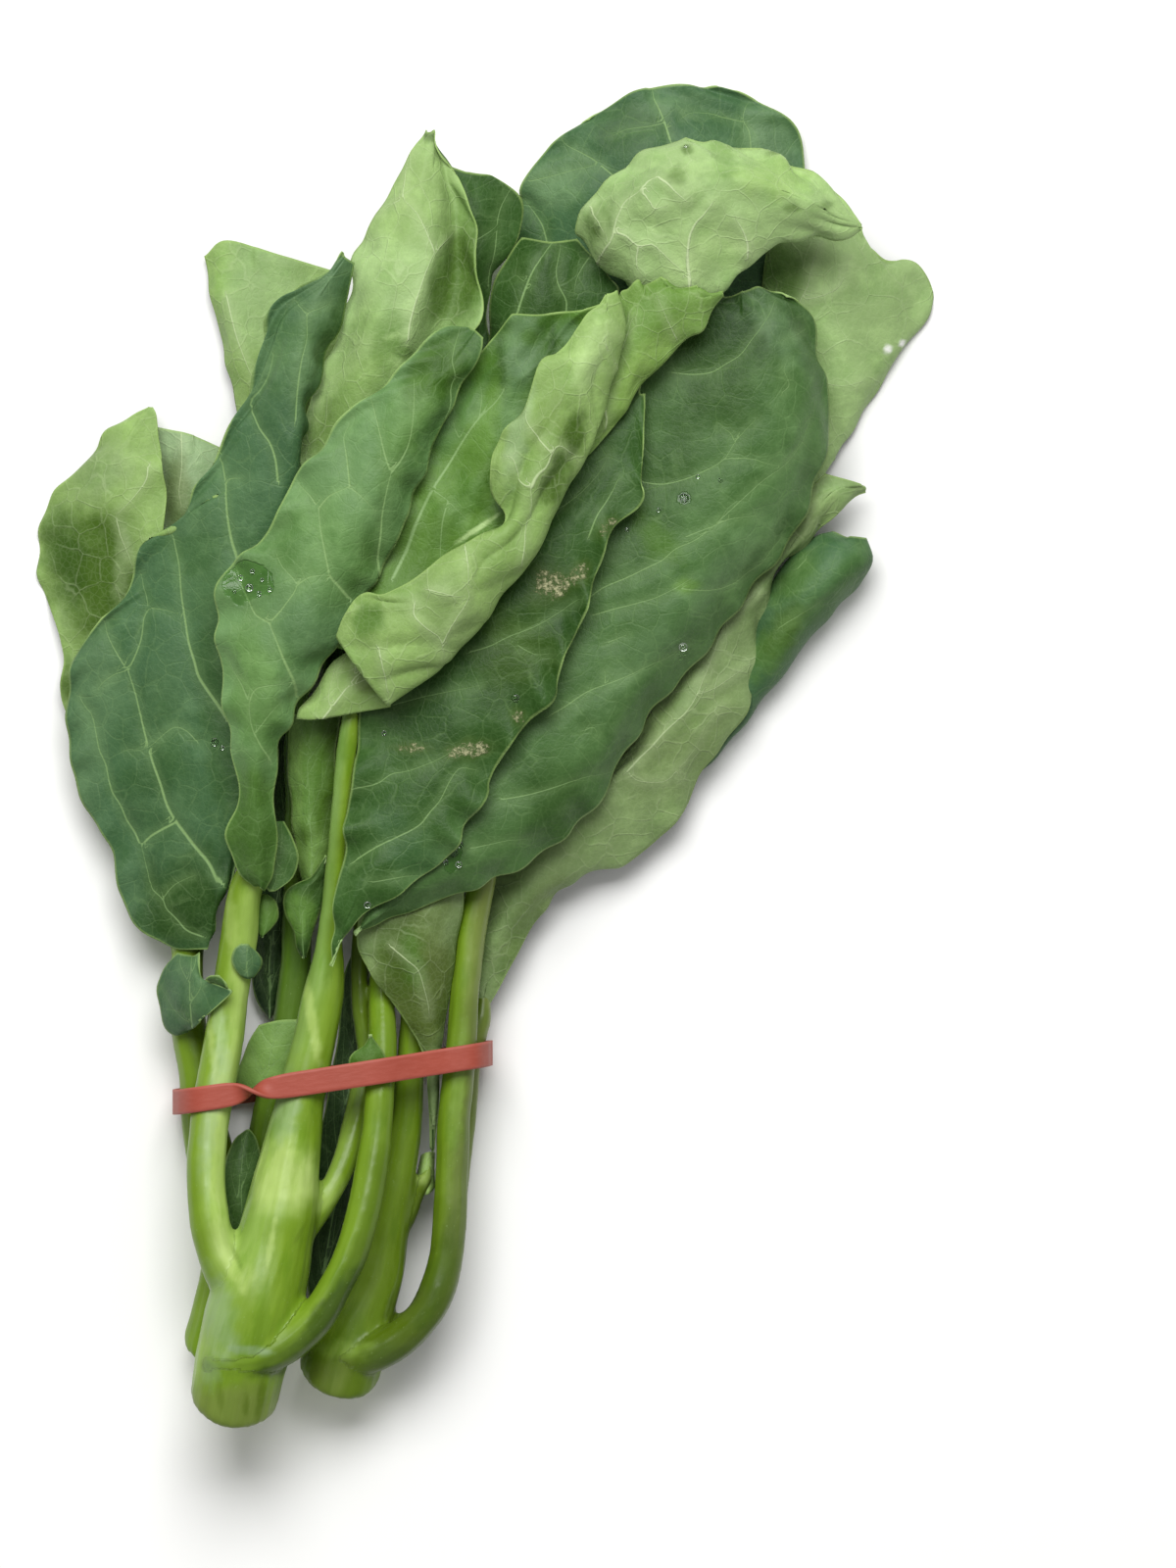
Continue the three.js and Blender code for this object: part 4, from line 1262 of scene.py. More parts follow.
BLADES = (
    Blade(
        "left_outer_leaf", Side.UPPER, (Tint.BLUE_GREEN, Tint.SOFT),
        rails=lines("""
    -70.9 -50 20, -76.8 -49.8 17, -82.6 -48.3 16, -89.9 -43 14, -92.9 -35.7 12, -94.5 -28.9 12,
    -98 -19.9 11, -103.5 -10.6 11, -106 -0.1 11, -107.3 10 12, -106.7 17.5 13, -103.9 26.3 14,
    -98.9 33.3 16, -91.8 40.6 19, -89.2 48.8 21, -86.7 54.6 22, -79.1 56.8 24, -73.6 67.5 26,
    -68 76.8 28, -63.5 85 29, -59 95 30, -56.5 104.5 31, -55.4 111 32, -52.4 116.4 33, -47.9 118.9 34,
    -42.9 120.9 35, -38.9 123.1 36, -37.1 125.9 36.5, -35.9 128.1 37 /
    -69.9 -47 20, -68.1 -32.9 24, -66.1 -13.1 26, -64 8.9 27, -62.3 31.9 29, -56.4 56.9 32,
    -50.9 74.9 35, -48.4 89.9 37, -46.9 101.1 38, -43.8 112.8 39, -39.9 119.8 38.5, -35.4 126.8 37 /
    -68.9 -45 20, -67.1 -33.9 23, -59.1 -19.9 23, -53.1 -3.1 23, -52.1 17 23, -51.1 40 25, -50.5 62 27,
    -47.5 77 29, -44 92 31, -38.9 104.5 32, -35.4 113.7 33, -33.9 119.9 34, -33.1 125.4 35"""),
        veins=drawn("""
    1.2, -67.5 -32.5, -70.5 -27.5, -74 -23.5, -78.5 -17.5, -81 -13, -82.5 -8, -84.5 -2.5, -86 2.5,
    -87.5 8.5, -89 15, -90 18.5, -91 21.5 /
    0.6, -91 21.5, -93 24.5, -95 28, -96.5 31.5, -97.5 35 /
    0.6, -91 21.5, -89 25.5, -87.5 30, -87 35, -86 37.5, -87 42.5, -88 46 /
    0.4, -86 37.5, -82 37, -78.5 36 /
    1.1, -66 9.5, -68 12.5, -70.5 16, -73 20, -74 23.5, -75.5 28.5, -76.5 34.5, -77.5 41, -78 48.5,
    -79 53.5, -79.5 56 /
    1, -63 50.5, -64.5 55.5, -65.5 62, -66 70, -67 75, -68 78.5 /
    0.5, -66 70, -64 70.5, -61.5 70.5 /
    0.8, -52.5 70, -53 75, -54.5 79.5, -57 83, -59 87.5, -59.5 90, -57 93, -55 96.5, -53 102.5 /
    0.6, -48 85, -47.5 92.5, -46.5 100, -45 106, -45 112, -42 113.5, -39 115 /
    0.5, -45 112, -48.5 116 /
    0.8, -79 -17.5, -82 -19, -85.5 -21, -88 -23, -89.5 -20, -91.5 -17, -93 -13, -95.5 -9, -97 -2.5,
    -98.5 1, -99.5 6, -100.5 10, -102 12, -103.5 14.5 /
    0.6, -72 -46.5, -76 -45, -79 -42, -81.5 -39.5, -82.5 -37, -85.5 -34, -86.5 -30, -87.5 -25,
    -88 -23 /
    0.4, -82.5 -37, -79.5 -33.5, -74.5 -31 /
    0.4, -73.5 3.5, -76 6, -79 7, -82 5, -85.5 2, -88.5 1, -91.5 1 /
    0.4, -91 21.5, -94.5 20.5, -97.5 18.5, -99 16.5"""),
        # The DARK strip at -67, 12 is painted shade beside the front left leaf, and the narrow DEEP strip
        # at -37, 110 is painted shade on the right margin, which rolls down.
        patches=painted("""
    DEEP -74.6 -38.9 15 11.5 20 0.9, DARK -67.1 12.4 5.5 42.5 6 0.6, WAXY -42.9 109.9 6.5 17.5 -22 0.7,
    SAGE -69.6 56.1 10 22.5 -14 0.6, SAGE -52.1 101.1 7.5 12.5 -20 0.6, SAGE -79.6 13.6 6.5 15 0 0.4,
    WAXY -99.6 12.4 5.5 27.5 -5 0.4, DEEP -37.1 109.9 3 15 -22 0.7, DARK -83.4 -7.6 10 22.5 12 0.3"""),
        wave=1.0, pucker=0.6, blister=0.2, seed=7,
    ),
    Blade(
        "front_left_leaf", Side.UPPER, (Tint.MID_GREEN, Tint.PALE),
        rails=lines("""
    -59 -34 33, -63 -29 35, -66 -21 37, -63 -13 38, -63 -3 39, -65 8 40, -67 20 41, -68 32 42,
    -68 42 42, -64 49 43, -57 54 44, -52 62 45, -48 71 46, -42 77 46, -37 85 47, -25 94 47, -17 103 47,
    -10 109 46, -4 109 45 /
    -57 -34 36, -58 -25 40, -58 -13 42, -58 2 44, -55 17 47, -48 32 49, -41 47 50, -32 62 51,
    -23 77 51, -15 91 50, -7 101 48, -2 108 46 /
    -56 -35 33, -53 -29 36, -53 -15 38, -53 0 39, -49 9 41, -42 21 42, -35 32 44, -26 46 45, -20 60 46,
    -13 77 46, -8 89 46, -1 102 46, 0 106 46"""),
        veins=drawn("""
    1.15, -47 14.5, -49 20, -51 24.5, -52.5 28.5, -54.5 33.5 /
    0.69, -54.5 33.5, -58 35.5, -60 39.5, -62 44.5, -63.5 48.5 /
    0.69, -54.5 33.5, -52.5 35.5, -50.5 38, -47.5 43, -51 47.5, -52.5 50.5 /
    0.57, -47.5 43, -44.5 45, -41 45.5, -39 45.5 /
    1.03, -34 39.5, -37 43, -39 45.5, -40.5 52, -41.5 57.5, -42 62.5 /
    0.57, -42 62.5, -44 65.5, -46 67.5, -47.5 69 /
    0.69, -42 62.5, -39.5 65.5, -36.5 67, -34 68 /
    0.69, -34 68, -34.5 73, -35 77.5, -35.5 81, -34 85 /
    0.57, -34 68, -31 65.5, -28 62.5 /
    0.92, -26.5 45, -26.5 51, -26 57.5, -25.5 62.5, -24.5 67.5, -23.5 71.5 /
    0.69, -23.5 71.5, -25 76, -26.5 82.5, -28 88.5, -29 92.5 /
    0.69, -23.5 71.5, -21 75, -19 79, -18 85, -17.5 91, -17.5 95 /
    0.57, -10 85.5, -8.5 92.5, -7.5 96, -8 100, -7 105, -6 108.5 /
    0.46, -7.5 96, -4.5 95.5 /
    0.69, -55 -1.5, -57 2.5, -59 7.5, -59.5 13.5 /
    0.57, -59.5 13.5, -61.5 17.5, -64 21, -66 25.5 /
    0.57, -59.5 13.5, -58 16.5, -54.5 17.5, -50.5 18 /
    0.46, -58 5.5, -54.5 10.5, -52 13"""),
        # The DARK, DEEP and MOSS patches near -6 to -13, 97 to 101 and the long DARK strip at -23, 62 are
        # painted shade on the right side, which rolls down.
        patches=painted("""
    DARK -6.4 101.1 7 12.5 -25 0.8, DARK -13.4 96.9 5 8.5 -25 0.7, MOSS -59.6 -22.6 10 17.5 0 0.8,
    DARK -23.4 62.4 4 30 -22 0.6, BLUE_GREEN -40.9 32.4 12.5 12.5 -20 0.4,
    WET -60.4 43.4 6.5 5.5 20 0.95, DEEP -60.4 43.4 6.5 5.5 20 0.5, DEEP -58.9 -20.1 6.5 12.5 0 0.45,
    DEEP -12.1 96.9 6.5 8.5 -35 0.7, MOSS -11.6 97.9 5 8.5 -30 0.5, FRESH -19.6 84.9 5 15 -20 0.4,
    FRESH -40.9 52.4 15 15 -20 0.25, FRESH -57.9 17.4 6 15 5 0.4"""),
        wave=1.1, pucker=0.6, blister=0.25, seed=14,
    ),
    Blade(
        "pointed_leaf", Side.UNDER, (Tint.DARK, Tint.PALE),
        rails=lines("""
    -48.9 20 18, -50.9 34 20, -51.1 52.1 21, -49.6 72.1 23, -45.5 89.1 25, -41 100.1 27,
    -35.5 114.1 28, -33.5 128.1 29, -28.5 136 30, -23.4 145.8 30, -17 155.1 29, -14.2 159.1 28 /
    -47.4 20 19, -48.1 34 23, -45.5 52 27, -40.9 71.9 32, -35.9 88.9 36, -30.9 105.1 39, -24.3 120 40,
    -19.9 134.1 38, -16.4 144.9 34, -13.9 158.6 29 /
    -46.4 20 19, -43.1 34 22, -37 52 27, -28.9 74.9 32, -22.9 94.9 37, -18.4 108.8 39, -14.1 126.8 38,
    -13.1 136.9 36, -12.9 145 33, -13.2 152 31, -13.4 158.8 29 /
    -45.6 20 18.5, -40.1 34 20, -33 52 24, -24.5 72 27, -17.5 89 29, -11.9 105 31, -7.9 117.5 30,
    -7.4 130.1 29, -7.9 141.1 29, -9.9 148.1 29, -11.9 154.1 29, -13.5 158.9 28.5 /
    -44.9 20 18, -38.1 34 20, -31 52 25, -23 72 29, -15.4 89 32, -4.6 104.9 36, -0.4 110.4 37,
    -1.9 119.9 35.5, -1.9 129.9 34.5, -3.7 141 33, -7.7 147 31, -10.9 154.1 30, -13.2 159.1 28"""),
        veins=drawn("""
    0.6, -19.5 106, -19 110, -17.5 115.5, -16 120, -14.5 124.5, -13 128 /
    0.5, -13 128, -14.5 132, -16 135.5, -18 139, -20.5 141.5 /
    0.4, -20.5 141.5, -20 145.5, -19.5 150, -18 153.5 /
    0.4, -20.5 141.5, -23.5 140, -26 138 /
    0.4, -13 128, -10.5 131, -7.5 134"""),
        # The row of narrow MOSS and MILKY bands from -43, 92 to -47, 77, and the MILKY stroke at -23, 107
        # with the MOSS below it, are painted shade in hollows and painted highlights on puckers. The
        # OLIVE at -6, 121 is partly the leaf's own olive and partly painted shade where it turns down
        # right of the crease.
        patches=painted("""
    FRESH -4.9 126.9 8 18 -12 0.7, OLIVE -6.4 120.9 6 14.5 -12 0.7, FRESH -24.9 104.4 3.5 8 -25 0.7,
    MILKY -23.4 106.6 2.5 0.75 15 0.6, MOSS -19.6 101.9 3 2 -40 0.6, MOSS -42.9 91.9 2.75 0.75 20 0.6,
    MILKY -43.9 89.6 2.5 0.75 20 0.6, MOSS -44.6 87.1 2.75 0.88 20 0.7,
    MILKY -45.4 84.6 2.5 0.75 20 0.6, MOSS -45.9 82.1 2.5 1 20 0.7, MILKY -46.4 79.4 2.25 0.75 20 0.6,
    MOSS -46.9 76.9 2.25 1 20 0.6, FRESH -37.1 86.1 3.75 11 -28 0.8, LEAFY -30.4 94.9 4 6 -25 0.4,
    MILKY -22.1 98.6 1.25 3 -40 0.6, MILKY -33.4 84.9 1.5 3.5 -60 0.5, OLIVE -42.9 82.4 3 7.5 -25 0.8,
    MILKY -18.4 144.9 3 7.5 -25 0.6, MOSS -25.9 92.4 3.5 10 -25 0.5, NIGHT -13.9 158.1 1.25 1.75 0 0.9,
    SOFT -17.1 142.4 10 15 -15 0.6, SOFT -35.9 92.4 7.5 20 -20 0.5"""),
        wave=0.8, pucker=0.7, blister=0.5, seed=21,
    ),
    Blade(
        "dark_tip_leaf", Side.UPPER, (Tint.DARK, Tint.PALE),
        rails=lines("""
    -9 60 18, -15 76 17, -16 97 17, -17 122 18, -15 135 19, -12 145 19, -10 151 19 /
    -7 60 19.5, -7 77 19.5, -7 97 20, -6 117 22, -4 130 23, -3 140 22, -4 149 20 /
    -5 60 18, 1 76 17, 2 97 17, 1 117 17, 5 126 17, 9 133 17, 10 139 17, 8 144 17, 2 148 18"""),
        veins=drawn("""
    0.6, 1 120, 3 130, 4 138.5, 7 145 /
    0.5, -2 131.5, 0.5 133, 3.5 135"""),
        patches=painted("""
    DARK 2.9 144.9 5.5 4.5 0 0.8"""),
        wave=0.8, pucker=0.5, seed=28,
    ),
    Blade(
        "back_left_leaf", Side.UNDER, (Tint.DARK, Tint.SOFT),
        rails=lines("""
    -52 10 12, -57 22 11, -60 42 9, -62 67 8, -64 83 7, -63 87 6, -65 94 5, -68 107 4, -71 121 3,
    -72 128 3 /
    -51 10 12.5, -52 24 12.5, -53 42 12, -56 72 11, -59 96 10, -63 107 9, -66 120 7, -66 132 5 /
    -49.5 10 12.5, -47 24 11, -45 42 10, -45 72 9, -47 92 8, -49 107 7, -51 120 7, -52 128 6 /
    -48 10 12, -42 22 9, -37 42 7, -35 72 6, -35 92 5, -36 110 5, -38 124 4"""),
        veins=drawn("""
    0.5, -66 117.5, -63.5 107.5, -61 100.5, -59 96"""),
        patches=painted("""
    LIME -67.9 119.9 2.5 10 -10 0.35, GREY_PALE -55.9 119.9 15 17.5 0 0.35"""),
        wave=0.5, pucker=0.5, seed=35,
    ),
    Blade(
        "far_left_leaf", Side.UNDER, (Tint.DARK, Tint.SOFT),
        rails=lines("""
    -90 -12 6.5, -98 -3 7, -105 7 7, -109 17 6, -108 26 5, -111 36 3, -115 45 1.5, -115 50 1,
    -114 59 1, -111 67 2, -105 72 4, -98 82 5, -91 87 6, -86 89 6 /
    -87.5 -12 7, -90 -2 7, -95 10 7, -99 27 6, -102 42 6, -102 55 7, -100 67 10, -93 79 10, -86 89 7 /
    -85 -12 7, -82 -3 9, -81 7 11, -80 22 12, -81 37 13, -82 52 13, -82 66 13, -83 77 11, -84 86 8,
    -85 89 7"""),
        veins=drawn("""
    0.5, -86 73.5, -86.5 70.5, -88.5 67.5, -91 64.5, -93.5 62 /
    0.4, -94 60, -93 56, -91.5 52.5, -90 48.5"""),
        patches=painted("""
    OLIVE -99.6 47.4 11.25 17.5 10 0.95, DEEP -108.4 52.4 5 12.5 8 0.5,
    GREY_GREEN -92.9 47.4 2 10 -4 0.7, GREY_GREEN -102.1 74.9 8.5 9 -20 0.8,
    OLIVE -107.4 19.9 3 5 0 0.7"""),
        wave=0.9, pucker=0.6, seed=42,
    ),
    Blade(
        "grey_left_leaf", Side.UNDER, (Tint.BLUE_GREEN, Tint.GREY_PALE),
        rails=lines("""
    -74 -2 3.5, -80 8 3, -84 27 1.5, -86 52 0.5, -85 72 0.5, -84 84 1.5 /
    -72 -3 4, -72 10 5, -74 27 5, -76 52 5, -76 70 5, -75 82 4 /
    -70 -2 3.5, -64 8 3, -62 27 3, -63 52 3, -65 67 3, -66 78 2.5"""),
        veins=drawn("""
    0.5, -78 82.5, -77.5 78, -77.5 73, -78 67.5, -77.5 63.5"""),
        patches=painted("""
    DRAB -78.9 64.9 4 10 0 0.7"""),
        wave=0.5, pucker=0.5, seed=49,
    ),
    Blade(
        "centre_folded_leaf", Side.UPPER, (Tint.FRESH, Tint.SOFT),
        rails=lines("""
    -37 27 41, -30 42 41, -23 56 41, -17 70 41, -11 85 40, -3 99 40, 8 112 42 /
    -33 25 42, -25 40 42.5, -16 52 43, -7 67 43, 0 85 43, 8 99 43, 15 112 44 /
    -27 17 43, -16 27 43, -3 40 43, 7 55 43.5, 14 70 44, 20 85 44.5, 25 97 44.5, 28 107 44.5,
    28 114 45.5 /
    -24 12 49, -16 19 49, -8 24 49, 1 33 49, 5 41 49, 13 49 49, 19 61 49, 25 73 49, 30 82 49, 32 94 49,
    36 103 49, 37 109 49, 34 118 49 /
    -31 20 54, -18 30 57, -6 40 58, 5 52 57, 13 67 57, 18 82 58, 24 95 58, 29 105 57, 33 117 53 /
    -38 30 53, -35 36 54, -31 41 55, -25 41 56, -16 46 56, -6 53 56, 2 57 55, 5 61 54, 2 67 54,
    2 75 55, 5 82 55, 10 87 56, 14 99 56, 19 103 56, 24 109 55, 31 117 53"""),
        veins=drawn("""
    1.2, -23 45, -19.5 52.5, -16.5 60, -13 67, -9.5 73, -5.5 79.5, -1 85.5, 3 89.5, 5.5 93 /
    0.6, -9 64.5, -10.5 58.5, -11 52.5, -11 48.5 /
    0.5, -13 67.5, -9 64.5, -7 62.5, -4.5 60 /
    0.5, -5.5 79.5, -7 82.5, -7.5 85 /
    0.5, -1 85.5, -0.5 90, -0.5 93.5""", (0, 0.5))
        + drawn("""
    0.5, 33.5 98, 31.5 102.5, 31 106 /
    0.6, 12 67.5, 13.5 71, 15.5 73.5, 17 77, 19 78.5, 22.5 76, 24.5 73 /
    0.5, 12 67.5, 9 70.5, 8 75, 6.5 75.5 /
    0.5, 7 44.5, 9 50, 10.5 56, 11.5 62.5, 12 67.5 /
    0.5, 16.5 77, 13.5 81, 11.5 84.5, 11 87.5 /
    0.5, -17.5 38, -17.5 35, -14.5 32, -11.5 30, -10.5 27.5, -11 23.5 /
    0.5, -10.5 27.5, -8.5 32.5, -4 39.5, -4.5 42.5 /
    0.4, -13.5 41.5, -9 40.5, -5.5 40 /
    0.5, -26.5 27, -25.5 22.5, -24.5 17.5, -24 13 /
    0.5, -4.5 52.5, -4 47.5, -4 43""", (0.5, 1)),
        # The DARK strip at -17, 73 is painted shadow along the front left leaf's edge; the thin DEEP
        # lines at 18, 106 and 5, 99 are painted shade in the creases of a fold; the MILKY patches on the
        # back at 27, 97 and 29, 105 are painted light on a spot that the top arched leaf shades.
        patches=painted("""
    DARK 10.4 106.1 10 12.5 -30 0.75, DARK -17.4 72.9 3.25 25 -30 0.5, SAGE -5.9 86.1 3.5 11 -30 0.6,
    MOSS -3.4 82.4 6.5 17.5 -30 0.35, DEEP 6.6 69.9 2.25 11 -12 0.8, DARK -5.9 62.4 3.5 10 -40 0.25,
    LEAFY 12.9 72.4 6 25 -20 0.5 0.5 1 back, OLIVE 23.4 80.9 3.5 5.5 -20 0.95 0.5 1 back,
    OLIVE 18.1 70.9 3.25 6.5 -20 0.85 0.5 1 back, MILKY 26.6 97.4 3 6.5 -20 0.6 0.5 1 back,
    MILKY -1.6 57.4 0.65 5.5 -56 1, WAXY 10.1 103.4 4.25 9 -3 0.75, DEEP 17.6 105.9 0.75 4.5 0 0.7,
    DEEP 4.9 99.4 0.88 11 4 0.6, MOSS 11.9 106.1 2 2.25 0 0.6, WAXY 22.1 107.9 3.5 3 -40 0.7,
    SAGE 7.1 86.1 3 11 -8 0.5, DARK 12.4 91.1 1.25 8.5 -12 0.5,
    GREY_PALE 9.1 82.4 2.5 12.5 -10 0.6 0.5 1 back, MOSS -29.1 34.4 3.75 5 -20 0.8 0.5 1 back,
    MILKY 29.1 104.9 5 10 -30 0.4 0.5 1 back, GREY_GREEN -9.6 32.4 15 7.5 -60 0.4 0.5 1 back,
    DRAB 16.6 84.4 4 7.5 -20 0.3 0.5 1 back"""),
        wave=0.9, pucker=0.6, blister=0.5, crumple=1.6, seed=56,
    ),
    Blade(
        "under_fold_leaf", Side.UNDER, (Tint.DARK, Tint.SOFT),
        rails=lines("""
    -48 9 38, -47 12 38, -43 17 38, -39 23 38, -35 26 38, -27 32 38 /
    -41 9 41, -37 14 42, -33 19 41, -28 24 39.5, -22 30 39 /
    -24 12 41, -23 16 41, -20 20 40.5, -16 26 40.5"""),
        # The DRAB patch is painted shadow, cast by the fold above it.
        patches=painted("""
    DRAB -29.6 19.9 6.25 4 -40 0.7"""),
        wave=0.3, pucker=0.3, seed=63,
    ),
    Blade(
        "back_centre_leaf", Side.UPPER, (Tint.DARK, Tint.PALE),
        rails=lines("""
    11 42 18, 4 56 18, 0 77 19, 1 102 20, 2 115 21, 3 121 21, 6 127 21, 10 132 20 /
    13 42 20, 12 57 22, 10 77 24, 12 105 26, 14 117 27, 15 126 26, 17 131 24 /
    15 42 18, 25 56 18, 28 77 19, 30 100 21, 33 112 23, 35 119 23, 32 122 23, 28 127 23, 24 132 22"""),
        veins=drawn("""
    0.8, 8.5 112.5, 11 120, 13 124.5, 15.5 128, 17.5 131 /
    0.6, 21 113, 21 116, 19 120, 18.5 123.5, 19 127, 19.5 130 /
    0.4, 26.5 127, 24 122.5, 23 118.5 /
    0.4, 11.5 120, 8 122.5"""),
        patches=painted("""
    DEEP 12.9 122.4 12.5 11 -20 0.7"""),
        wave=0.6, pucker=0.6, seed=70,
    ),
    Blade(
        "top_arched_leaf", Side.UNDER, (Tint.DARK, Tint.PALE),
        rails=lines("""
    37.9 106.2 31, 35.1 119.5 30, 29.6 125 29.5, 26.1 128 29.5, 22.3 132.3 30, 23.8 137.2 32,
    26.9 142.2 34, 30.4 144.9 34.5, 36.6 150.9 35, 40.4 153.7 35, 44.6 155.9 34.5, 48.1 157.9 34,
    52.1 159.4 34, 56.1 156.9 34.5, 60.4 157.2 34.5, 69.1 155.4 34, 75.9 154.4 34, 78.4 150.7 34,
    85.4 147.9 34, 90.6 143.7 34, 94.4 138.4 34, 96.6 135.2 34 /
    43.6 106.1 36, 39.6 117.3 38, 35.6 124.8 40, 33.6 131 42, 36.6 136.6 44, 41.6 142.1 46, 49 147 47,
    56.5 148.5 47, 64 148 47, 71.5 146.6 46, 78.5 144.1 44, 85.3 141.5 41, 91.6 137.8 37.5,
    96.4 134.9 34.5 /
    51.6 106.1 36, 52.1 117.3 39, 52.8 123.5 41, 55.3 129.2 43, 59 134.1 44.5, 64 138.1 46,
    70.3 140.1 46, 76.5 140.1 45, 82.8 139.2 43, 88.5 137.5 40, 93.1 136.1 37, 96.6 134.7 34.5 /
    57.1 109.9 36, 59.1 116.6 37, 62.8 122.1 38.5, 67.1 125.3 39, 72.8 129 39, 75.8 130.8 39,
    81.6 132.1 38.5, 87.8 133.1 37.5, 93.1 133.9 36, 96.6 134.7 35 /
    57.1 108.9 34, 59.6 115.9 35, 63.3 121.4 36, 67.6 124.4 36, 73.1 127.9 36, 76.1 129.6 35.5,
    81.8 130.4 35, 88.4 130.7 34.5, 93.6 131.7 34, 96.4 133.4 34"""),
        veins=drawn("""
    0.96, 52.5 119.5, 52 125, 52 128.5, 52.5 132.5, 54 135.5, 56 137.5, 58 140 /
    0.72, 29.5 125.5, 31 128.5, 33 131.5, 34 135.5, 36 139.5, 38 141.5, 40.5 143 /
    0.6, 40.5 143, 42.5 141, 43.5 139, 45.5 139.5 /
    0.6, 34 133, 36.5 132, 39.5 129.5, 43 130, 45.5 128, 48 125.5, 51 123 /
    0.6, 39.5 129.5, 39 125.5, 40 122.5 /
    0.72, 44.5 146.5, 47 145, 49 143, 51.5 141 /
    0.72, 67 127, 67 130.5, 66 133.5, 64.5 136 /
    0.6, 27.5 139.5, 29.5 136, 31 133 /
    0.6, 40.5 143, 42.5 145.5, 44.5 146.5"""),
        patches=painted("""
    LEAFY 11.6 124.4 4 7.5 -10 0.5, DRAB 18.1 126.9 3.5 7.5 -10 0.3, LIME 74.1 147.4 10 5 0 0.4,
    GREY_GREEN 51.6 144.9 7.5 7.5 0 0.4, MILKY 51.6 124.9 5 7.5 -20 0.6,
    OLIVE 51.6 154.9 1.75 1.25 0 0.7, OLIVE 49.1 146.9 2.25 3 0 0.55, OLIVE 28.6 133.6 1.25 1.25 0 0.6,
    OLIVE 74.1 153.6 1.5 1 0 0.6, OLIVE 78.6 139.1 2 1.25 0 0.6, OLIVE 87.9 140.4 1.5 1 0 0.5,
    OLIVE 29.6 135.4 3.5 5.5 -40 0.5, MOSS 40.4 144.9 4 6 -40 0.25, MILKY 62.9 128.6 8.5 4.5 -20 0.7,
    FRESH 61.6 152.4 7.5 3 -80 0.5"""),
        wave=0.9, pucker=1.0, blister=0.9, seed=77,
    ),
    Blade(
        "strip_leaf", Side.UNDER, (Tint.DARK, Tint.LEAFY),
        rails=lines("""
    20.4 75.1 39, 25.6 84.8 39.5, 29.6 93.5 40, 33.6 106 41, 34.1 116.7 42, 36.8 118.9 43.5,
    39.1 120.9 44, 40.6 119.5 42.5, 43.6 120.7 43.5, 45.8 121.7 44, 48.1 119.5 42.5, 51.6 118.9 43,
    54.8 119.4 44, 56.3 117 42.5, 61.1 118 42 /
    23.1 75.1 41, 30.1 86 42, 37.1 98.5 44, 42.1 107.7 45.5, 47.1 113.4 45.5, 52.5 115.7 45,
    57 116.4 44, 61 117.5 42.5 /
    26.6 76.6 39.5, 30.3 80.6 39.5, 34.1 84.8 39.5, 36.6 89.3 39.5, 40.3 93.6 39.5, 45.3 99.1 39.5,
    49.1 103 40, 52.8 106 40, 56.1 107.8 40.5, 58.6 113.3 41, 61.1 117 41.5"""),
        veins=drawn("""
    0.5, 30.5 83.5, 32 91, 34 98.5, 36.5 105, 38 111 /
    0.4, 49 106, 46.5 111, 44.5 116"""),
        # The LIME patch at 39, 95 is painted light, lifting a spot that the leaves above it shade.
        patches=painted("""
    LIME 39.1 94.9 5 15 -30 0.5, FRESH 44.1 113.6 5 10 -30 0.5"""),
        wave=0.6, pucker=0.6, blister=0.4, seed=84,
    ),
    Blade(
        "top_back_leaf", Side.UPPER, (Tint.BLUE_GREEN, Tint.PALE),
        rails=lines("""
    13 38 6, 7 58 6, 9 82 6, 12 107 5, 10 120 4, 8 132 4, 9 141 4, 10 147 5, 18 157 6, 27 163 7 /
    15 37 8, 19 58 9, 27 82 10, 37 107 12, 40 125 13, 40 140 13, 41 155 12, 42 171 8 /
    17 38 6, 30 58 6, 49 82 5, 67 107 5, 80 125 4, 82 139 3, 82 149 3, 80 160 3, 72 167 4, 61 171.2 5"""),
        veins=drawn("""
    0.8, 47.5 157.5, 46.5 161, 45 165, 43.5 168, 43 170.5 /
    0.6, 33.5 148, 30.5 150.5, 28 152.5, 24.5 154.5, 21.5 156, 20 157.5 /
    0.6, 16 131.5, 15 135.5, 13.5 138, 11.5 140.5, 10 142.5 /
    0.5, 68.5 155.5, 68 160, 66.5 163, 67 166, 68 167.5 /
    0.4, 46.5 162, 43 161, 39 160.5, 36 160, 33 158.5 /
    0.4, 66.5 162.5, 61.5 163.5, 58 164.5, 53 164.5, 50.5 163 /
    0.4, 11.5 147, 16.5 148, 24 150, 29 151"""),
        patches=painted("""
    WAXY 19.1 146.1 6.5 10 -50 0.7, WAXY 71.6 157.4 7.5 7.5 0 0.6, WAXY 46.6 166.1 10 2.5 10 0.5,
    DARK 12.9 133.6 5 6.25 0 0.5, DARK 36.6 159.9 8.5 6.5 0 0.5"""),
        wave=0.8, pucker=0.7, seed=91,
    ),
    Blade(
        "right_dark_leaf", Side.UPPER, (Tint.FOREST, Tint.PALE),
        rails=lines("""
    -33 -46 35, -26 -33 34, -16 -15 32, -6 2 31, 4 20 31, 14 37 30, 23 57 29, 29 77 28, 37 95 28,
    49 109 28, 61 117 28 /
    -33 -46 36, -21 -34 37, -6 -16 35, 9 7 34, 22 30 33, 32 52 32, 39 72 31, 49 92 31, 57 107 30,
    63 117 29 /
    -32 -45 35, -13 -34 35, 9 -20 34, 24 -3 34, 37 17 34, 52 42 34, 64 62 34, 74 82 33, 77 100 32,
    74 112 30, 70 119 28 /
    -31 -45 34, -13 -38 31, 9 -29 28, 24 -18 26, 32 -8 25, 39 6 24, 53 22 23, 67 41 22, 79 56 21,
    87 77 20, 89 89 20, 86 101 21, 83 113 22, 77 117 25"""),
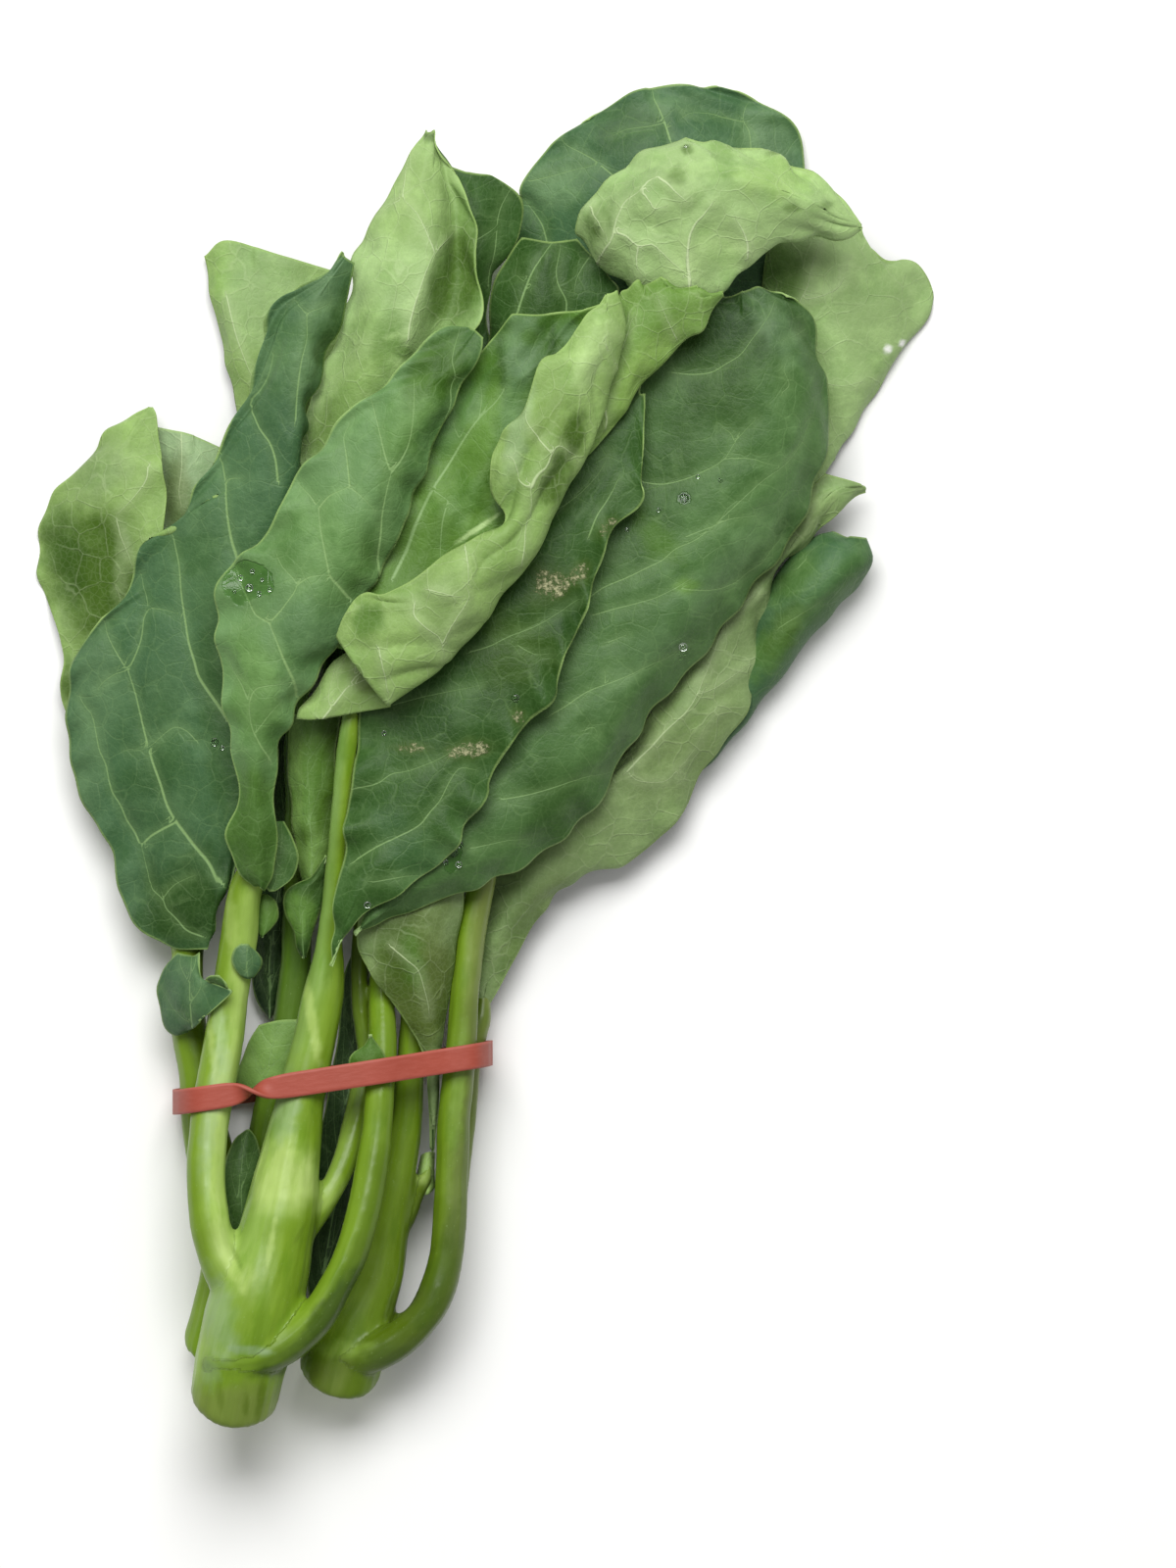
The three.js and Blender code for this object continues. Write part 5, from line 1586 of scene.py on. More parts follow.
        veins=drawn("""
    0.48, 40.5 69.5, 45.5 69, 50.5 70, 54.5 71.5, 58.5 73.5, 61.5 75.5, 64 79.5, 66.5 82.5, 69.5 85.5 /
    0.4, 64 79.5, 63 82, 60.5 83.5 /
    0.48, 26.5 39.5, 30.5 42.5, 36.5 45, 41.5 47.5, 45.5 49.5, 49 52.5, 54.5 55, 60.5 60, 66.5 65.5,
    71.5 70, 76.5 73.5, 79.5 77, 81.5 80.5, 83 85 /
    0.4, 63 75.5, 68 75.5, 73 74, 76.5 73.5 /
    0.48, 48 97.5, 53 97, 58 97.5, 61.5 99.5, 65.5 102, 68.5 106, 70.5 108.5, 73 112.5, 74 115.5 /
    0.32, 82 108.5, 79.5 107, 76.5 105.5 /
    0.32, 76.5 92.5, 78 94.5, 76.5 98, 77.5 100.5 /
    0.48, 28 35.5, 33 37, 39 38.5, 44 40, 49 42.5, 53 45 /
    0.48, 49 42.5, 54.5 42, 60.5 42.5, 66.5 45.5, 70.5 48.5, 73 52.5, 76.5 55.5 /
    0.4, 51.5 55.5, 56.5 57.5, 63 60, 66.5 60.5, 70.5 61 /
    0.4, 31.5 28.5, 36.5 30.5 /
    0.48, 17 10, 20.5 12, 26.5 16, 33 18.5, 38 20.5, 42 22.5, 48 25, 51.5 28 /
    0.4, 31 18.5, 31 21 /
    0.48, 4.5 -11.5, 10.5 -10.5, 16.5 -9, 23 -7, 28 -5.5, 36.5 -4 /
    0.4, -3.5 -24, 1.5 -23, 6.5 -22, 11.5 -22 /
    0.32, 25.5 6, 28 7, 29 5"""),
        # The DEEP patch at 63, 105 and the NIGHT patch at 68, 112 are painted shadow cast by the top
        # arched leaf; the long WAXY strip at 52, 37 is a painted sheen along the ridge.
        patches=painted("""
    WAXY 51.6 37.4 4 30 -40 0.4, DEEP 62.9 104.9 15 23.75 -20 0.85, NIGHT 67.9 111.9 10 10 -20 0.3,
    WAXY 74.1 109.9 4 12.5 30 0.5, DEEP 19.1 -15.1 15 7.5 -60 0.6, MID_GREEN 74.1 67.4 5.5 20 -25 0.4,
    DEEP 44.1 67.4 7.5 22.5 -25 0.5, MOSS 44.6 54.4 7.5 3.75 -50 0.7, FRESH 51.6 43.1 3 2 0 0.8,
    WET -7.9 -26.6 2.25 3.5 -20 0.9, WET 51.1 65.4 1.75 1.75 0 0.9"""),
        wave=0.8, pucker=0.5, blister=0.2, seed=98,
    ),
    Blade(
        "centre_dark_leaf", Side.UPPER, (Tint.DARK, Tint.PALE),
        rails=lines("""
    -39 -54 36, -38 -43 37, -36 -28 38, -33 -8 38, -31 11 36, -21 27 36, -8 45 36, 5 62 36, 19 80 34.5,
    32 90 34, 40 94 34 /
    -39 -54 37, -32 -36 41, -22 -20 42, -13 -3 41.5, -3 17 41, 7 35 41, 17 52 40.5, 27 70 38.5,
    35 85 36.5, 40 92 35 /
    -39 -54 37, -33 -43 39, -23 -36 40, -14 -30 40, -6 -21 40, 1 -11 40, 2 -7 40, 5 0 41, 12 8 41,
    18 14 41, 19 21 41, 25 34 41, 29 46 40.5, 34 57 39.5, 40 65 38.5, 40 71 38, 41 85 36.5, 41 92 35"""),
        veins=drawn("""
    0.6, -33.5 -27.5, -26 -23, -17 -18.5, -13.5 -14.5, -11 -11.5, -8.5 -6.5, -6 -3.5, -2 -4 /
    0.45, -33 -9, -27 -7.5, -23.5 -5, -18.5 -4, -12 -1.5, -8.5 0.5, -4.5 2.5 /
    0.45, -3.5 26, 1.5 27.5, 6.5 30, 13 32.5, 19 36, 24 39.5 /
    0.38, 9 27.5, 13 25.5, 16.5 25.5 /
    0.6, 27 56, 29 61, 31.5 65, 33 67.5, 34.5 70.5 /
    0.38, 11.5 58.5, 19 62.5, 24 66, 28 70, 30.5 73.5, 32 77 /
    0.38, -23.5 12.5, -16 14.5, -8.5 16, -1 17.5 /
    0.38, -28.5 -32.5, -21 -31, -16 -31"""),
        patches=painted("""
    DEEP -15.9 2.4 15 8.75 -60 0.6, DEEP 11.6 32.4 14 20 -35 0.75, NIGHT -15.9 14.4 15 7.5 -60 0.3,
    NIGHT 9.6 29.4 11 15 -35 0.35, OLIVE 7.9 27.4 9 10 -40 0.5, DARK -18.4 -18.9 17.5 7.5 -50 0.5,
    MID_GREEN -5.9 -22.6 5 15 -45 0.3, SCAR 17.1 43.1 6 5 -45 0.95, SCAR 24.6 46.1 2.75 3.75 -30 0.9,
    SCAR 31.9 57.9 3 4.5 -30 0.85, SCAR -18.4 1.6 5 1.75 0 0.9, SCAR -3.9 1.1 6.5 2.5 10 0.95,
    SCAR 9.1 9.1 3.75 2 -40 0.9, BLUE_GREEN -18.4 -25.1 12.5 5 -50 0.4"""),
        wave=1.6, frill=1.9, pucker=0.6, blister=0.25, seed=105,
    ),
    Blade(
        "right_light_leaf", Side.UNDER, (Tint.DARK, Tint.PALE),
        rails=lines("""
    42.9 11 7.5, 43.9 26.1 8, 51 45.9 8, 59 67.1 8, 65.1 84.9 8, 69.1 105 8, 70.6 118.1 8,
    72.8 130.6 9, 76.9 135.1 9 /
    44.4 11 8.5, 50 26.1 9.5, 60 45.9 10.5, 72.1 67 10.5, 80.1 87.1 11, 82.4 105.4 12, 84.4 120.5 12.5,
    86.4 129.3 12, 88.9 135.1 10 /
    46 11 8.5, 54 26.1 9.5, 66 45.9 10, 80.6 64 7.5, 91.5 82.9 6.5, 99 99.2 8, 102 113.5 9.5,
    101 121.8 9.5, 98 129.4 9, 96 135.1 9 /
    47.5 11 7.5, 58 27.1 9, 70.1 45.9 9.5, 81.9 61.5 8, 87.5 73.9 4, 93.5 81.7 2, 97.6 87.3 1.5,
    104.1 98.6 1, 111.2 108.7 1, 115.2 116.2 1, 114.4 121.3 1, 111.2 125.8 2, 107.6 127.2 3.5,
    103.1 127 5, 100 128.9 6.5, 98 131.2 7.5, 96.5 134.7 8"""),
        veins=drawn("""
    0.35, 81 116, 83 120, 84 125, 86 130.5 /
    0.35, 82 116.5, 86.5 117.5, 90.5 119.5, 92 122.5, 93.5 127 /
    0.28, 86 95.5, 91.5 94.5, 96.5 95.5"""),
        patches=painted("""
    FRESH 75.4 124.9 6.5 7.5 20 0.7, FLOOR 103.6 103.9 1 1 0 1, FLOOR 107.1 105.6 0.8 0.8 0 1,
    GREY_GREEN 101.6 117.4 7.5 15 -20 0.4"""),
        wave=0.5, pucker=0.6, blister=0.3, seed=112,
    ),
    Blade(
        "lower_right_leaf", Side.UNDER, (Tint.DARK, Tint.GREY_GREEN),
        rails=lines("""
    -1.8 -65.9 9.5, -3.1 -59.9 9.5, -3.3 -50.3 9.5, -1.5 -39 10, 2.5 -29.7 11, 13.5 -21.4 13.5,
    32.1 -5.1 15, 46.9 17 15, 59 37.1 15, 69 51.9 15, 77.1 61.9 15, 87.1 72 14 /
    -1 -66.4 10.5, 0.5 -57.8 11.5, 3.5 -47.8 13.5, 13.1 -32.9 17, 29.1 -11.1 19, 42.9 0.9 18,
    48.9 8 18, 59 26 17, 70 41.1 16.5, 80.1 54.9 16, 89.1 66.9 15, 96.9 69 13 /
    0 -65.9 9.5, 4.5 -58.6 10, 10 -48.1 10, 17.1 -38 10, 25.1 -31 10, 35.9 -28 9, 44.9 -21.9 9,
    52 -12.9 9, 58 -1.1 10, 65 7 11, 69.1 17 11, 70 29.1 12, 73.1 39.1 12, 76.1 48.9 12, 82.1 52.9 12,
    86.9 58 12, 93.9 65 12, 97.9 67 11"""),
        veins=drawn("""
    0.4, 36.5 -4.5, 41.5 0.5, 46.5 6, 51.5 11, 54 15, 56 19.5, 58.5 25.5, 61.5 32.5, 63.5 35.5 /
    0.25, 63.5 35.5, 66 38, 68.5 40.5, 70.5 41 /
    0.25, 54.5 15.5, 58.5 17, 63 20, 66.5 22.5, 69 23.5 /
    0.25, 36.5 -4.5, 39 -6.5, 43 -7, 46.5 -6.5, 49 -4, 51.5 -1.5, 54 2, 56 7, 59 10.5, 60.5 12 /
    0.2, 49 -4, 50 -6.5"""),
        patches=painted("""
    PALE 89.1 63.6 6 6 -40 0.7, DRAB 12.9 -45.1 6 15 -30 0.4, OLIVE 6.6 -53.9 3 10 -20 0.3,
    DRAB 49.1 2.4 10 15 -35 0.25, DRAB 85.4 62.4 7.5 6.5 -40 0.3"""),
        wave=0.7, pucker=0.5, blister=0.2, seed=119,
    ),
    Blade(
        "rolled_right_leaf", Side.UPPER, (Tint.BLUE_GREEN, Tint.PALE),
        rails=lines("""
    44 -7.6 3, 53 1.2 3, 61.8 11.3 3, 68.1 22.6 3, 74.4 33.9 3.5, 80.7 42.7 4, 87 49 5, 91 52.7 7 /
    43 -7.6 4, 51.8 3.7 4.5, 60.5 16.3 6, 66.1 27.6 8, 71.8 40.1 11, 77.6 48.9 11.5, 83.9 54.2 11.5,
    89.4 56.5 10 /
    44.7 -9.1 5, 55.5 -0.1 6, 64.3 12.5 9, 71.8 23.8 13, 79.8 35.1 17, 87.6 43.8 18, 92.3 50.1 16,
    93.4 55.2 11 /
    46.7 -10.6 4, 55.5 -3.8 5, 63.1 4.5 6, 69.1 12.5 7, 75.4 20.6 8, 83.1 30.1 8.5, 89.9 38.1 8.5,
    95.7 44.7 8.5, 99 50.2 9, 97 55 9 /
    45.7 -10.6 2, 55.5 -2.6 2, 63.8 7.5 2, 71.4 17.6 2, 78.9 27.6 2.5, 85 35.7 3, 90.7 44 4,
    93.5 49.2 5.5, 94 53.7 8"""),
        veins=drawn("""
    0.5, 76.5 42.5, 80.5 47.5, 85.5 52.5, 90.5 56 /
    0.4, 75.5 32.5, 80.5 35.5, 85.5 38.5"""),
        patches=painted("""
    FRESH 80.4 44.9 4 9 -40 0.5, FRESH 74.1 27.4 3.5 9 -30 0.5, MOSS 89.1 42.4 4 15 -40 0.4,
    OLIVE 76.6 32.4 4 7.5 -35 0.55, SAGE 87.1 45.4 2.5 7.5 -35 0.5"""),
        wave=0.6, pucker=0.5, seed=126,
    ),
    Blade(
        "stem_leaf", Side.UNDER, (Tint.DARK, Tint.GREY_GREEN),
        rails=lines("""
    -14 -101 15, -14 -88 18, -15 -78 20.5, -20 -68 23.5, -27 -59 27, -32 -50 29, -32 -40 29 /
    -13 -102 15.5, -13 -88 19, -13 -78 21, -14 -68 24.5, -16 -58 28, -17 -48 30, -17 -39 30 /
    -12.5 -101 15, -12 -89 17, -12 -79 18, -10 -66 20, -8 -54 21.5, -6 -43 23, -5 -34 24"""),
        veins=drawn("""
    0.5, -23.5 -49, -19.5 -52.5, -17 -55, -15.5 -60, -14 -66.5"""),
        patches=painted("""
    DRAB -17.1 -57.6 11 19 0 0.95, OLIVE -21.6 -52.1 6 8.5 0 0.55, MOSS -18.4 -51.4 2.5 7.5 10 0.6"""),
        wave=0.3, pucker=0.4, seed=133,
    ),
    Blade(
        "under_leaf", Side.UPPER, (Tint.DEEP, Tint.DRAB),
        rails=lines("""
    -30 -27 6, -38 -8 4, -41 7 3, -41 37 2, -38 67 2, -28 92 3, -16 105 4 /
    -27 -28 7, -25 -8 7, -23 7 6, -18 37 6, -13 67 6, -10 87 6, -8 104 5 /
    -24 -27 6, -16 -8 4.5, -11 7 3.5, -3 37 3, 0 67 3, 0 87 3, -2 104 4"""),
        wave=0.3, pucker=0.4, seed=140,
    ),
    Blade(
        "olive_leaf", Side.UPPER, (Tint.OLIVE, Tint.PALE),
        rails=lines("""
    -45.3 -36.2 22, -47.1 -30.2 23, -48.6 -23.1 23.5, -49.3 -16.1 24, -49.8 -8.9 24.5, -50.3 -1.3 25,
    -50 4.9 26, -48.5 9.9 27 /
    -43.8 -37.4 23.5, -44 -30.1 26, -44 -23.1 27.5, -44.5 -16.1 28, -44.7 -8.9 28.5, -45 -1.3 29,
    -44 4.9 30, -43 11.9 31 /
    -42.1 -35.7 22.5, -39.5 -30.1 24, -38 -23.1 25, -38 -16.1 25.5, -38 -8.9 26, -38 -1.3 26.5,
    -37.3 4.9 27, -36.5 13.4 28"""),
        patches=painted("""
    LEAFY -45.4 -27.6 6 5.5 0 0.9, FRESH -45.4 -5.1 5 15 0 0.8, LEAFY -47.9 -5.1 1.75 15 0 0.7"""),
        wave=0.6, pucker=0.6, seed=147,
    ),
    Blade(
        "curled_dark_leaf", Side.UPPER, (Tint.DEEP, Tint.PALE),
        rails=lines("""
    -46.8 -51.9 24, -48.1 -49.2 24.5, -48.8 -45.2 25, -50.8 -41.4 25, -51.5 -37.7 25.5,
    -50.5 -34.9 26.5, -47.8 -32.9 27.5, -44.7 -31.4 28, -43.2 -29.6 28.5, -40.7 -25.9 30 /
    -46 -52.2 26, -46.3 -48.2 27, -46.3 -43.9 28, -46.7 -40.1 28.5, -46.7 -37.1 29, -45.5 -34.6 29.5,
    -43.5 -32.6 30, -42 -30.1 30.5, -40.2 -25.9 31 /
    -45.3 -51.9 24.5, -44.3 -49.2 25, -43.5 -45.2 25.5, -42.3 -41.4 26, -41 -37.2 26.5,
    -40.3 -32.6 27.5, -39.5 -30.1 28.5, -39.5 -25.9 29"""),
        patches=painted("""
    FRESH -46.9 -41.4 4 6 0 0.9"""),
        wave=0.5, pucker=0.4, seed=154,
    ),
)

SMALL_BLADES = (
    Blade(
        "small_left_leaf", Side.UPPER, (Tint.BLUE_GREEN, Tint.PALE),
        rails=lines("""
    -76 -71.1 17, -79.3 -71.6 16, -81.8 -69.1 15, -83.3 -64.1 15, -83.8 -60.3 15, -82.8 -57.3 16,
    -81.3 -54 17.5, -78.7 -50.7 19 /
    -74.7 -70.3 22, -74.9 -67.2 25, -75.1 -62.7 26.5, -75.1 -58.9 27, -74.8 -55.2 26, -74.7 -51.5 22 /
    -71.8 -67.9 27, -69 -65.4 30, -66.5 -63.1 31.5, -64.2 -60.6 32, -67 -59.1 31, -70 -58.4 29.5,
    -72 -57.2 27.5, -72.6 -53.9 25, -72.6 -50.7 23"""),
        wave=0.3, pucker=0.3, blister=0.15, seed=161,
    ),
    Blade(
        "round_side_leaf", Side.UPPER, (Tint.BLUE_GREEN, Tint.PALE),
        rails=lines("""
    -62 -56.7 29.5, -63.7 -54.6 30, -64.5 -52.1 30, -63.7 -49.6 30.5, -62 -48.3 30.5 /
    -60.2 -57.4 29.5, -60.5 -54.1 31, -60.5 -51.1 31, -60.2 -48.4 30.5 /
    -58.8 -56.9 28, -57 -54.7 28, -56.5 -52.4 28, -57.8 -50.4 28.5, -59.5 -49.1 29.5"""),
        wave=0.3, pucker=0.3, blister=0.15, seed=168,
    ),
    Blade(
        "half_side_leaf", Side.UPPER, (Tint.FRESH, Tint.PALE),
        rails=lines("""
    -57.4 -46.7 23, -58.1 -43.9 23.5, -58.1 -40.7 24, -58.1 -38.2 24, -57.1 -35.9 24 /
    -56.8 -46.9 24, -55.6 -43.9 25, -55.3 -40.7 25.5, -55.6 -37.9 25.5, -56.3 -35.8 24.5 /
    -56.3 -46.4 24, -54.3 -44.4 24, -52.6 -41.7 24, -53.1 -37.9 24.5, -55.3 -35.8 24.5"""),
        wave=0.3, pucker=0.3, blister=0.15, seed=175,
    ),
    Blade(
        "lobe_leaf", Side.UPPER, (Tint.DARK, Tint.PALE),
        rails=lines("""
    -51 -17.1 30.5, -48.5 -22.1 30.5, -47.2 -26.6 30.5, -48.7 -31.4 30.5, -53.2 -35 31 /
    -53.2 -17.1 32, -53 -22.1 31.5, -52.7 -27.1 31.5, -53 -32.1 31, -54 -35.1 31 /
    -57 -17.1 30.5, -57.5 -22.1 30.5, -57.7 -27.1 30, -57 -32.1 30, -54.5 -35 30.5"""),
        wave=0.3, pucker=0.3, blister=0.15, seed=182,
    ),
    Blade(
        # Its NIGHT upper side is painted shade, filling the dark gap beside the front left leaf, where it
        # lies in shadow.
        "dark_back_leaf", Side.UPPER, (Tint.NIGHT, Tint.DRAB),
        rails=lines("""
    -56.2 -67 4.5, -58.4 -63.9 4, -59.7 -59.9 4, -60.2 -53.1 4, -60.9 -43.1 4, -58.9 -30 5,
    -56.4 -17.7 5, -54.1 -5.1 5, -52.6 10 5, -50.6 16 5.5 /
    -55.1 -67.9 6, -55.1 -61.9 7, -55.1 -53.1 8, -54.1 -43 8, -52.1 -30.2 8, -50.6 -17.7 8,
    -49.3 -5.1 8, -48.3 10 8, -47.8 18 7 /
    -54.1 -67 5, -52.1 -63.4 5, -50.6 -58.9 5, -49.1 -53.1 5, -48.1 -40 5, -46.1 -30 5, -44.8 -17.7 5,
    -43.8 -5.1 5, -44.1 10 5, -45.6 16 5.5"""),
        wave=0.3, pucker=0.3, blister=0.15, seed=189,
    ),
    Blade(
        "pale_back_leaf", Side.UPPER, (Tint.LEAFY, Tint.PALE),
        rails=lines("""
    -63.1 -86 11, -63.3 -82.4 12, -61.8 -77.4 13, -60.3 -73.4 14, -57.7 -69.3 15 /
    -56.2 -86.4 14, -55.7 -82.4 15, -54.7 -77.4 16, -53.7 -73.3 16, -52.7 -68.1 16 /
    -48.7 -85.9 14, -47.2 -82.4 14.5, -46.9 -77.9 15, -46.9 -73.4 15.5, -47.7 -67.8 15.5"""),
        wave=0.3, pucker=0.3, blister=0.15, seed=196,
    ),
    Blade(
        "shoot_leaf", Side.UNDER, (Tint.MOSS, Tint.LIME),
        rails=lines("""
    -17 -113 8.5, -17 -108 8.5, -16 -103 8.5 /
    -15 -113 12, -15 -108 12, -14.5 -102 11 /
    -13 -111 9, -13 -107 9, -13 -102 9"""),
        wave=0.3, pucker=0.3, blister=0.15, seed=203,
    ),
    Blade(
        "low_dark_leaf", Side.UPPER, (Tint.DEEP, Tint.OLIVE),
        rails=lines("""
    -63.7 -125 17, -66.5 -116.7 17.5, -67 -109.2 18, -66 -102.9 17.5, -64 -98.4 16.5, -61.2 -95.9 16 /
    -60.7 -125.5 17.5, -61.9 -116.7 19, -62.2 -107.9 19.5, -61.7 -101.7 19, -61.2 -97.9 18,
    -60.5 -95.7 16.5 /
    -57.7 -124 16.5, -57.2 -116.8 16.5, -56.7 -109.2 17, -56.9 -102.9 17, -58 -98.4 16.5,
    -59.7 -95.9 16"""),
        wave=0.3, pucker=0.3, blister=0.15, seed=210,
    ),
    Blade(
        "band_leaf", Side.UPPER, (Tint.MOSS, Tint.PALE),
        rails=lines("""
    -34.4 -80.7 31.5, -34.4 -77.9 32, -32.9 -75.9 32.5, -30.7 -74.4 32.5, -29.2 -71.4 33 /
    -29.4 -80.6 33.5, -28.9 -77.6 34, -28.9 -75.1 34, -28.9 -73.6 34, -28.9 -71.4 34 /
    -24.4 -80.7 31.5, -24.9 -77.9 32, -25.7 -75.6 32.5, -26.9 -73.9 32.5, -28.7 -71.4 33"""),
        wave=0.3, pucker=0.3, blister=0.15, seed=217,
    ),
    Blade(
        "shaded_leaf", Side.UPPER, (Tint.NIGHT, Tint.DEEP),
        rails=lines("""
    -42.1 -144.9 5.5, -44.1 -142.4 5, -45.3 -137.9 5, -45.6 -130.8 5, -44.3 -118.2 5.5, -42.8 -103.2 6,
    -40.5 -88.1 6, -38 -73 6, -36.3 -57.9 6, -33.7 -50.8 6.5 /
    -41 -145.6 6, -41 -140.8 7, -40.8 -130.8 7.5, -38.8 -118.2 8, -36.2 -103.1 8.5, -34.7 -88 8,
    -33.5 -73 8, -32.7 -57.9 7.5, -32.5 -48.8 7 /
    -40 -144.4 5.5, -38.5 -140.9 5, -37 -134.9 5, -36 -128.3 5, -34.3 -118.3 5, -32.2 -103.2 5.5,
    -30.2 -88.1 6, -28.7 -73 6, -29.5 -57.9 6, -31.2 -50.8 6.5"""),
        wave=0.3, pucker=0.3, blister=0.15, seed=224,
    ),
    Blade(
        "rim_leaf", Side.UPPER, (Tint.DARK, Tint.PALE),
        rails=lines("""
    -70 -58.4 30.5, -71 -57.4 31.5, -70 -56.6 32.5 /
    -68.5 -58.6 31.5, -68.4 -57.4 33, -67.9 -56.4 33.5 /
    -65.4 -59.9 32.5, -65.9 -58.4 33.5, -66.7 -57.1 33.5"""),
        wave=0.3, pucker=0.3, blister=0.15, seed=231,
    ),
)

